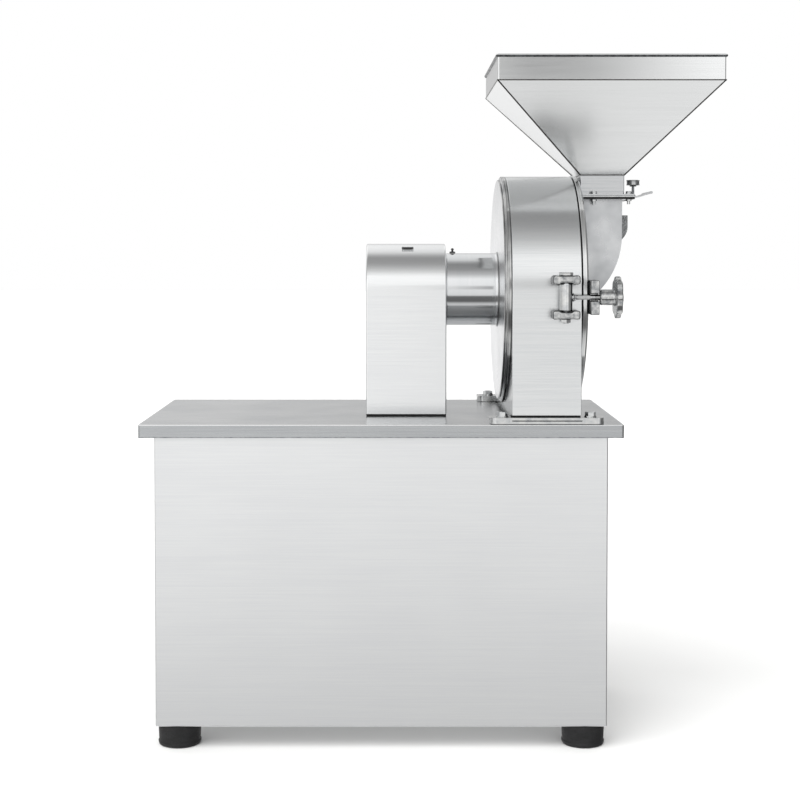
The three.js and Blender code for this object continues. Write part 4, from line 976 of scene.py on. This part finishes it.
def build_pulley(node, body, centre, bore):
    """A cast and turned pulley with three V grooves."""
    x, y, z = extent(node)
    rim = (y[1] - y[0]) / 2
    depth, grooves, width = 14.2, 3, 34
    pitch = width / grooves
    start = middle(x) - width / 2
    profile = [(bore, x[0], 1), (rim - 16, x[0], 1), (rim - 14, x[0] + 0.01, 0), (rim, x[0], 1)]
    for left in (start + k * pitch for k in range(grooves)):
        profile += [(rim, left + 0.2, 0.4), (rim - depth, left + 3.4, 0.6), (rim - depth, left + 7.6, 0.6),
                    (rim, left + pitch - 0.5, 0.4)]
    profile += [(rim, x[1], 1), (bore, x[1], 1)]
    dressed(node, "grooved", spun(profile, 96, 3, "x", centre), body, "ground_steel", MACHINED)


# ---------------------------------------------------------------- door, chute, gate and hopper


def build_door():
    x, y, z = extent("door_disc")
    radius = (y[1] - y[0]) / 2
    blank = spun([
        (0, x[0], 0), (radius, x[0], 1.2), (radius, x[1] - 3.2, 1.2), (radius - 3.2, x[1], 1.2), (0, x[1], 0),
    ], 200, 4)
    feed = block((x[0] - 3, x[1] + 3), (SHAFT[0] - 46, SHAFT[0] + 46), (SHAFT[1] - 26, SHAFT[1] + 46))
    dressed("door_disc", "turned", carved(blank, feed), "front_door", "brushed_stainless", DOOR_RIM, SHEET_Y,
            pick=flat_or_rim)
    build_hopper()
    build_gate()


def build_hopper():
    x, y, z = extent("hopper")
    middle_x, middle_y = middle(x), middle(y)
    gate = extent("slide_gate")
    plate = extent("feed_chute")[0]
    wall = 2.2
    band = [(x[0] + 3, x[1] - 3), (y[0] + 3, y[1] - 3)]
    neck = [(middle_x - 41.5, middle_x + 41.5), (middle_y - 50, middle_y + 50)]
    base, rim = z
    shoulder, slope_top = base + 39, rim - 47
    outer = [
        level(*neck, 0, base + 2, 2), level(*neck, 0, shoulder - 1.5, 2),
        level(*neck, 0.7, shoulder + 1, 2), level(*band, -0.9, slope_top - 1.6, 3),
        level(*band, 0, slope_top + 1.2, 3), level(*band, 0, rim - 6.2, 3),
    ]
    roll = 3.1
    bead = [level(*band, 3 * math.sin(a), rim - roll - roll * math.cos(a), 4) for a in
            (math.radians(d) for d in (25, 50, 75, 100, 125, 150, 180))]
    inner = [
        level(*band, -wall, rim - 1.5, 2), level(*band, -wall, slope_top + 1, 2),
        level(*neck, -wall + 0.6, shoulder + 1.4, 1), level(*neck, -wall, shoulder - 1, 1),
        level(*neck, -wall, base + 2, 1),
    ]
    funnel = loops(outer + bead + inner)
    throat = level(*neck, -wall, 0, 0)
    flange = carved(
        block((neck[0][0] - 3, plate[1]), (y[0] + 104, y[1] - 104), (base, base + 3), 0.5),
        block(throat[0], throat[1], (base - 4, base + 8)))

    def area(face):
        """Band, rolled edge, neck or cone."""
        height = face.calc_center_median().z / MM
        # The neck takes the darker neck sheet: painted shade under the cone.
        if height < shoulder:
            return 2
        if abs(face.normal.z) > 0.2 and height < slope_top:
            return 3
        # The lower half of the rolled edge takes the dark edge finish: painted shade under the rim.
        return 1 if rim - 6.4 < height < rim - 2.2 else 0

    dressed("hopper", "folded", together(funnel, flange), "front_door", "brushed_stainless", HOPPER_SHEET,
            PAINTED_SHADE_EDGE, NECK_SHADED_SHEET, CONE_SHEET, pick=area)

    def corner(spans, by, height, end, side):
        return Vector((spans[0][end] + (2 * end - 1) * by, spans[1][side] + (2 * side - 1) * by, height))

    lines = [
        (corner(neck, 0.5, shoulder + 1, a, b), corner(band, -0.4, slope_top, a, b), 1.5)
        for a in (0, 1) for b in (0, 1)
    ]
    for spans, by, height, size in ((band, 0.1, slope_top, 1.1), (neck, 0.2, shoulder, 1.0)):
        round_trip = [corner(spans, by, height, a, b) for a, b in ((0, 0), (1, 0), (1, 1), (0, 1))]
        lines += [(round_trip[k - 1], round_trip[k], size) for k in range(4)]
    seams = together(*[rod(*line) for line in lines])
    piece("hopper_weld_seams", seams, "front_door", "brushed_stainless", SEAM)

    under = gate[2][0] - 3.4
    spots = [(plate[0] + dx, middle_y + dy) for dx in (28, 93) for dy in (-61, 61)]
    shape = bolts([(a, b, base + 3) for a, b in spots], (5.5, 4), (6.2, 1), (3, 19))
    nut = hexagon((0, 0), 5.5, -4.4, 0, 0.5, steps=2)
    nuts = repeated(nut, [(a, b, under) for a, b in spots], PLATED)
    piece("flange_bolts", together(shape, nuts), "front_door", "plated_steel", PLATED)


def rod(start, end, radius, segments=8):
    """A thin round bar from start to end."""
    bm = bmesh.new()
    way = end - start
    bmesh.ops.create_cone(
        bm, cap_ends=True, segments=segments, radius1=radius, radius2=radius, depth=way.length)
    turn = way.to_track_quat("Z", "Y").to_matrix().to_4x4()
    return moved(bm, Matrix.Translation((start + end) / 2) @ turn)


def build_gate():
    x, y, z = extent("slide_gate")
    low = z[0]
    plate = extent("feed_chute")[0]
    bend = plate[1] + 2
    end = x[1] - 12
    sheet = block((x[0], bend + 0.5), y, (low, low + 2), 0.5)
    outline = filleted([
        (bend, low, 0), (bend + 10, low, 8), (end, z[1] - 4, 0), (end, z[1] - 2, 0),
        (bend + 10, low + 2.2, 8), (bend, low + 2.2, 0)], 4)
    tab = prism("y", outline, *y, 0.6, 2)
    roll = spun([(0, y[0], 0), (2.4, y[0], 0.8), (2.4, y[1], 0.8), (0, y[1], 0)], 20, 3, "y", (end, z[1] - 3))
    # The gate takes the darker neck sheet: painted shade.
    dressed("slide_gate", "hemmed", together(sheet, tab, roll), "gate", "brushed_stainless", NECK_SHADED_SHEET)
    strips = [
        block((plate[0] + 1, plate[1] + 0.6), sorted((SHAFT[0] + side * 53, SHAFT[0] + side * 70.6)),
              (low - 0.2, low + 2.3), 0.4) for side in (-1, 1)]
    piece("gate_side_spacers", together(*strips), "front_door", "plated_steel", PLATED)
    outer = ((plate[0] + 0.6, plate[1] + 0.8), (SHAFT[0] - 71, SHAFT[0] + 71))
    inner = ((plate[0] + 4, plate[1] - 4), (SHAFT[0] - 67, SHAFT[0] + 67))
    top, under = low - 0.3, low - 4
    lining = loops([(*outer, under, 1), (*outer, top, 1), (*inner, top, 1), (*inner, under, 1)])
    piece("gate_flange_gasket", lining, "front_door", "seal_rubber", SEAL_RUBBER)
    x, y, z = extent("gate_knob")
    centre = (middle(x), middle(y))
    base, top = z
    stem = spun([
        (0, base, 0), (5.4, base, 0.4), (5.4, base + 2, 0.5), (2.6, base + 6, 1.5), (2.4, top - 11, 0.3),
        (0, top - 11, 0)], 32, 3, "z", centre)
    piece("gate_knob_stem", stem, "gate", "plated_steel", FORGED)
    head = spun([
        (radius, top - drop, fillet) for radius, drop, fillet in (
            (0, 12.4, 0), (6, 12.4, 1), (7, 10.6, 1), (12.8, 10, 0.8), (12.8, 8.6, 0.4), (12.1, 8.2, 0.3),
            (12.1, 2.4, 0.3), (12.8, 2, 0.4), (12.8, 0.8, 0.8), (12, 0, 0.6), (7, 0.8, 1), (0, 0.8, 0))
    ], 64, 3, "z", centre)
    dressed("gate_knob", "head", head, "gate", "plated_steel", CLAMP_STEEL)


# ---------------------------------------------------------------- swing-bolt clamp


def front_or_edge(face):
    """The faces ground bright, and the sides painted dark: painted shade that outlines the part."""
    return 0 if abs(face.normal.y) > 0.6 else 1


def build_clamp():
    for node, rise in (("clamp_ear_upper", 1), ("clamp_ear_lower", -1)):
        x, y, z = extent(node)
        inner, outer = (z if rise > 0 else z[::-1])
        left, right = x[0] + 10, x[1] - 10
        thick = inner - 3 * rise
        tip = outer + 2 * rise
        outline = filleted([
            (x[0] - 1, thick, 4), (left, thick, 4), (left + 4, inner, 4), (right - 4, inner, 4),
            (right, thick, 4), (x[1] + 1, thick, 4), (x[1] + 1, tip, 7), (right, outer, 6), (left, outer, 6),
            (x[0] - 1, tip, 7)], 4)
        ear = prism("y", outline, *y, 3, 4)
        # The ear's sides take the dark edge finish: painted shade that outlines it.
        dressed(node, "forged", ear, "root", "plated_steel", CLAMP_STEEL, PAINTED_SHADE_EDGE, pick=front_or_edge)
    x, y, z = extent("clamp_pin")
    centre = (middle(x), middle(y))
    head = extent("clamp_ear_upper")[2][1] + 0.3
    foot = extent("clamp_ear_lower")[2][0] - 0.3
    shank = spun([(0, z[0], 0), (5, z[0], 1), (5, head + 1, 0.3), (0, head + 1, 0)], 32, 3, "z", centre)
    cap, nut = hexagon(centre, 12.5, head, z[1], 1.1), hexagon(centre, 9, foot - 6.2, foot, 0.9, 30)
    dressed("clamp_pin", "bolt", together(cap, shank, nut), "root", "plated_steel", BUFFED)

    bolt = extent("clamp_rod")
    line = (middle(bolt[1]), middle(bolt[2]))
    x, y, z = extent("clamp_barrel")
    radius = (x[1] - x[0]) / 2
    bore = 5.3
    barrel = carved(
        spun([(bore, z[0], 0.4), (radius - 0.8, z[0], 0.8), (radius, z[0] + 3, 0.6), (radius, z[1] - 3, 0.6),
              (radius - 0.8, z[1], 0.8), (bore, z[1], 0.4)], 96, 3, "z", centre),
        cylinder(5.6, centre[0] + 2, x[1] + 4, 32, line))
    dressed("clamp_barrel", "turned", barrel, "clamp_barrel", "plated_steel", BUFFED)

    start, end = x[1] + 0.4, bolt[0][1]
    pitch, turns = 1.5, 17
    first = end - pitch * turns - 1
    thread = []
    for k in range(turns):
        thread += [(4.2, first + pitch * k), (5, first + pitch * (k + 0.5))]
    neck = filleted([
        (0, bolt[0][0], 0), (4.9, bolt[0][0], 0.6), (5, start, 0.1), (8.4, start + 0.01, 1),
        (6.4, start + 3, 2), (5, start + 8, 3)], 4)
    shape = turned("x", line, neck + thread + [(4, end), (0, end)], 48)
    dressed("clamp_rod", "threaded", shape, "clamp_bolt", "plated_steel", BUFFED)

    x, y, z = extent("hand_nut")
    count, lobes = 160, 8
    outline = []
    for k in range(count):
        angle = 2 * math.pi * k / count
        reach = (y[1] - y[0]) / 2 - 1.6 * (1 - math.cos(lobes * angle))
        outline.append((line[0] + reach * math.cos(angle), line[1] + reach * math.sin(angle)))
    wheel = prism("x", outline, x[1] - 11, x[1], 2.6, 4)
    back = x[1] - 10.5
    hub = spun([
        (bore, x[0], 0.6), (12.4, x[0], 1), (14, x[0] + 2, 1.2), (14, x[1] - 14, 3), (17, back, 2),
        (bore, back, 0)], 80, 4, "x", line)
    front = x[1] + 0.4
    boss = spun([(0, x[1] - 2, 0), (17, x[1] - 2, 0), (15, front, 1.4), (0, front, 0)], 64, 4, "x", line)
    dressed("hand_nut", "lobed", together(wheel, hub, boss), "hand_nut", "plated_steel", CLAMP_STEEL)


# ---------------------------------------------------------------- service door, motor and drive


def build_louvres():
    x, y, z = extent("service_door")
    panel = y[1] - 4.5
    length = 130
    rows = [z[1] - 52 - 18 * k for k in range(6)]
    mid = middle((x[0] + 28, x[1]))
    profile = filleted([(0, -7.5, 0), (5.2, -6.2, 1.5), (2.5, 1.5, 2), (0, 2.2, 0)], 4)
    shape = prism("x", profile, -length / 2, length / 2, 0.8, 2)
    places = [(mid + side * 85, panel, row) for row in rows for side in (-1, 1)]
    hoods = repeated(shape, places, CABINET_SHEET)
    piece("service_door_louvres", hoods, "service_door", "brushed_stainless", CABINET_SHEET)


def build_drive():
    cover = extent("motor_fan_cover")
    axis = (middle(cover[1]), middle(cover[2]))
    frame_x, _, frame_z = extent("motor_frame")
    fin = block((cover[0][1] + 14.3, frame_x[1] - 42), (-1.4, 1.4), (96, 111), 0.6)
    fins = ringed(fin, 40, (0, *axis), MOTOR_PAINT)

    def hidden(face):
        """Whether a fin would run under the terminal box or into the feet."""
        centre = face.calc_center_median()
        out, up = abs(centre.y - axis[0]), centre.z - axis[1]
        return (up > 60 and out < 48) or (up < -20 and out > 55)

    bmesh.ops.delete(fins, geom=[f for f in fins.faces if hidden(f)], context="FACES")
    lid = [(middle(frame_x) + a, axis[0] + b, frame_z[1] - 0.4) for a in (-36, 36) for b in (-36, 36)]
    screws = bolts(lid, (4, 3), (4.6, 0.6), (2, 6))
    dressed("motor_frame", "finned", together(softened("motor_frame", 1.2), fins, screws), "root",
            "cast_grey_paint", MOTOR_PAINT)
    slot = block((cover[0][0] - 0.6, cover[0][0] + 1.2), (-2, 2), (28, 74), 0.6)
    ribs = ringed(slot, 24, (0, *axis), MOTOR_PAINT)
    dressed("motor_fan_cover", "ribbed", together(softened("motor_fan_cover", 1.2, 3, 0.5), ribs), "root",
            "cast_grey_paint", MOTOR_PAINT)
    build_pulley("motor_pulley", "motor_rotor", axis, 14.3)
    x, y, z = extent("motor_shaft")
    shaft = spun([(0, x[0], 0), (14, x[0], 1), (14, x[1], 1.4), (0, x[1], 0)], 56, 3, "x", axis)
    dressed("motor_shaft", "ground", shaft, "motor_rotor", "ground_steel", MACHINED)


# ---------------------------------------------------------------- pieces that only have their edges broken

# Node, last word of the name, width and steps of the broken edge, body, slot and finishes.
DEBURRED = [
    ("foot_flange_near", "bar", 0.9, 3, "root", "brushed_stainless", BUFFED),
    ("foot_flange_far", "bar", 0.9, 3, "root", "brushed_stainless", BUFFED),
    *[(f"hammer_{k}", "ground", 1.2, 3, "rotor", "ground_steel", FORGED) for k in (1, 2, 3, 4)],
    ("stator_ring", "toothed", 0.7, 2, "front_door", "ground_steel", FORGED),
    ("hinge_bracket", "welded", 0.8, 2, "root", "brushed_stainless", BUFFED),
    ("door_hinge_leaf", "bent", 0.8, 2, "front_door", "brushed_stainless", BUFFED),
    ("hinge_pin", "headed", 0.8, 2, "root", "plated_steel", PLATED),
    # The chute takes the darker chute sheet: painted shade.
    ("feed_chute", "folded", 0.7, 2, "front_door", "brushed_stainless", CHUTE_SHADED_SHEET),
    ("air_scoop", "cast", 0.9, 2, "front_door", "ground_steel", CASTING),
    # The fork's sides take the dark edge finish: painted shade that outlines it.
    ("clamp_fork", "forged", 1.6, 3, "front_door", "plated_steel", CLAMP_STEEL, PAINTED_SHADE_EDGE),
    ("service_hinge", "rolled", 0.4, 2, "root", "brushed_stainless", SHEET_Z),
    ("service_door", "pressed", 0.8, 2, "service_door", "brushed_stainless", CABINET_SHEET),
    ("service_latch", "moulded", 0.8, 2, "service_latch", "black_plastic", KNOB),
    ("motor_base", "channels", 0.8, 2, "root", "brushed_stainless", SHEET_X),
    ("drive_belt", "banded", 1.4, 3, "root", "black_rubber", BELT_RUBBER),
    ("discharge_chute", "folded", 0.6, 2, "root", "brushed_stainless", SHEET_Z),
    ("collection_drawer", "folded", 1.0, 3, "drawer", "brushed_stainless", CABINET_SHEET),
]


def build_deburred():
    for node, word, width, steps, *rest in DEBURRED:
        # Pieces with the dark edge finish have their sides painted dark: painted shade.
        forged = PAINTED_SHADE_EDGE in rest
        dressed(node, word, softened(node, width, steps), *rest, pick=front_or_edge if forged else None)


# ---------------------------------------------------------------- light, floor and camera


def stepped(ramp, stops):
    """Sets a ramp's grey levels at places from -1 to 1."""
    ramp.elements.remove(ramp.elements[1])
    for k, (place, grey) in enumerate(stops):
        stop = ramp.elements[0] if k == 0 else ramp.elements.new((place + 1) / 2)
        stop.position = (place + 1) / 2
        stop.color = (grey, grey, grey, 1.0)


def build_studio():
    """A white studio with soft bands of light and shade for the metal to mirror."""
    world = bpy.data.worlds.new("studio")
    bpy.context.scene.world = world
    world.use_nodes = True
    tree = world.node_tree
    tree.nodes.clear()
    direction = add(tree, "ShaderNodeTexCoord").outputs["Generated"]
    apart = add(tree, "ShaderNodeSeparateXYZ", None, {"Vector": direction})
    side, up = apart.outputs["X"], apart.outputs["Z"]
    lift = calc(tree, "ARCTAN2", up, calc(tree, "MULTIPLY", apart.outputs["Y"], -1.0))
    turn = ranged(tree, lift, 0.0, 1.0, -math.pi, math.pi)
    bands = add(tree, "ShaderNodeValToRGB", None, {"Fac": turn})
    # Degrees from the front horizon, over the top to the back, and how bright the studio is there.
    levels = [
        (-180, 1.05), (-168, 1.0), (-150, 0.7), (-110, 0.9), (-90, 1.15), (-60, 1.05), (-44, 0.8),
        (-37, 0.18), (-21, 0.22), (-17, 1.1), (0, 1.2), (8, 1.3), (34, 1.4), (50, 0.78), (68, 0.45),
        (88, 0.38), (98, 0.6), (109, 1.0), (122, 1.15), (140, 1.2), (158, 1.0), (168, 0.62), (176, 0.62),
        (179, 1.0),
    ]
    stepped(bands.color_ramp, [(degrees / 180, level) for degrees, level in levels])
    # The same across, by the sideways part of the direction: the right end is darker.
    sides = [
        (-1, 0.9), (-0.8, 0.95), (-0.36, 1.1), (-0.14, 1.1), (-0.04, 1.0), (0.06, 0.9), (0.16, 0.9),
        (0.23, 1.12), (0.4, 1.1), (0.8, 0.3), (1, 0.3),
    ]
    spread = add(tree, "ShaderNodeValToRGB", None, {"Fac": ranged(tree, side, 0.0, 1.0, -1.0, 1.0)})
    stepped(spread.color_ramp, sides)
    # A grey card stands in front, low and to the right, with soft edges.
    card = 1.0
    for value, low, high, start, end in (
        (side, 0.0, 1.0, 0.04, 0.08), (side, 1.0, 0.0, 0.1, 0.19),
        (lift, 0.0, 1.0, math.radians(0), math.radians(3)),
        (lift, 1.0, 0.0, math.radians(10), math.radians(14)),
    ):
        card = calc(tree, "MULTIPLY", ranged(tree, value, low, high, start, end), card)
    grey = calc(tree, "MULTIPLY_ADD", card, -0.85, 1.0)
    both = mixed(tree, 1.0, bands.outputs["Color"], spread.outputs["Color"], "MULTIPLY")
    dimmed = add(tree, "ShaderNodeVectorMath", {"operation": "SCALE"}, {0: both, "Scale": grey})
    mirrored = add(tree, "ShaderNodeBackground", None, {"Color": dimmed.outputs["Vector"], "Strength": 1.0})
    plain = add(tree, "ShaderNodeBackground", None, {"Color": (1.0, 1.0, 1.0, 1.0), "Strength": 1.0})
    seen = add(tree, "ShaderNodeLightPath").outputs["Is Camera Ray"]
    both = add(tree, "ShaderNodeMixShader", None, {0: seen, 1: mirrored.outputs[0], 2: plain.outputs[0]})
    add(tree, "ShaderNodeOutputWorld", None, {"Surface": both.outputs[0]})

    sun = bpy.data.lights.new("soft_key", "SUN")
    sun.energy = 2.2
    sun.angle = math.radians(50)
    key = bpy.data.objects.new("soft_key", sun)
    key.rotation_euler = (math.radians(28), math.radians(-18), 0)
    key.visible_glossy = False
    bpy.context.scene.collection.objects.link(key)

    paper, tree = new_finish("pale_floor_paper")
    fleck = noise(tree, [400, 400, 400], 2.0, 0.5)
    shaded(tree, {
        "Base Color": tone(tree, fleck, "#f2f2f1", "#f6f6f5"),
        "Roughness": ranged(tree, fleck, 0.85, 0.95),
    })
    floor = bmesh.new()
    bmesh.ops.create_grid(floor, x_segments=4, y_segments=4, size=30)
    mesh = bpy.data.meshes.new("floor")
    floor.to_mesh(mesh)
    floor.free()
    mesh.materials.append(paper)
    ground = bpy.data.objects.new("floor", mesh)
    bpy.context.scene.collection.objects.link(ground)
    ground.visible_glossy = False


def build_camera():
    data = bpy.data.cameras.new("camera")
    data.sensor_width = 36
    data.lens = 69.0
    data.shift_x = 0.011
    data.shift_y = -0.124
    data.clip_end = 100
    camera = bpy.data.objects.new("camera", data)
    camera.location = (-0.078, -2.9235, 0.8985)
    camera.rotation_euler = (math.radians(90 - 1.92), 0, 0)
    bpy.context.scene.collection.objects.link(camera)
    bpy.context.scene.camera = camera
    bpy.context.scene.view_settings.view_transform = "Standard"


build_camera()
build_studio()
build_cabinet()
build_guard()
build_housing()
build_chamber()
build_rotor()
build_door()
build_clamp()
build_louvres()
build_drive()
build_deburred()
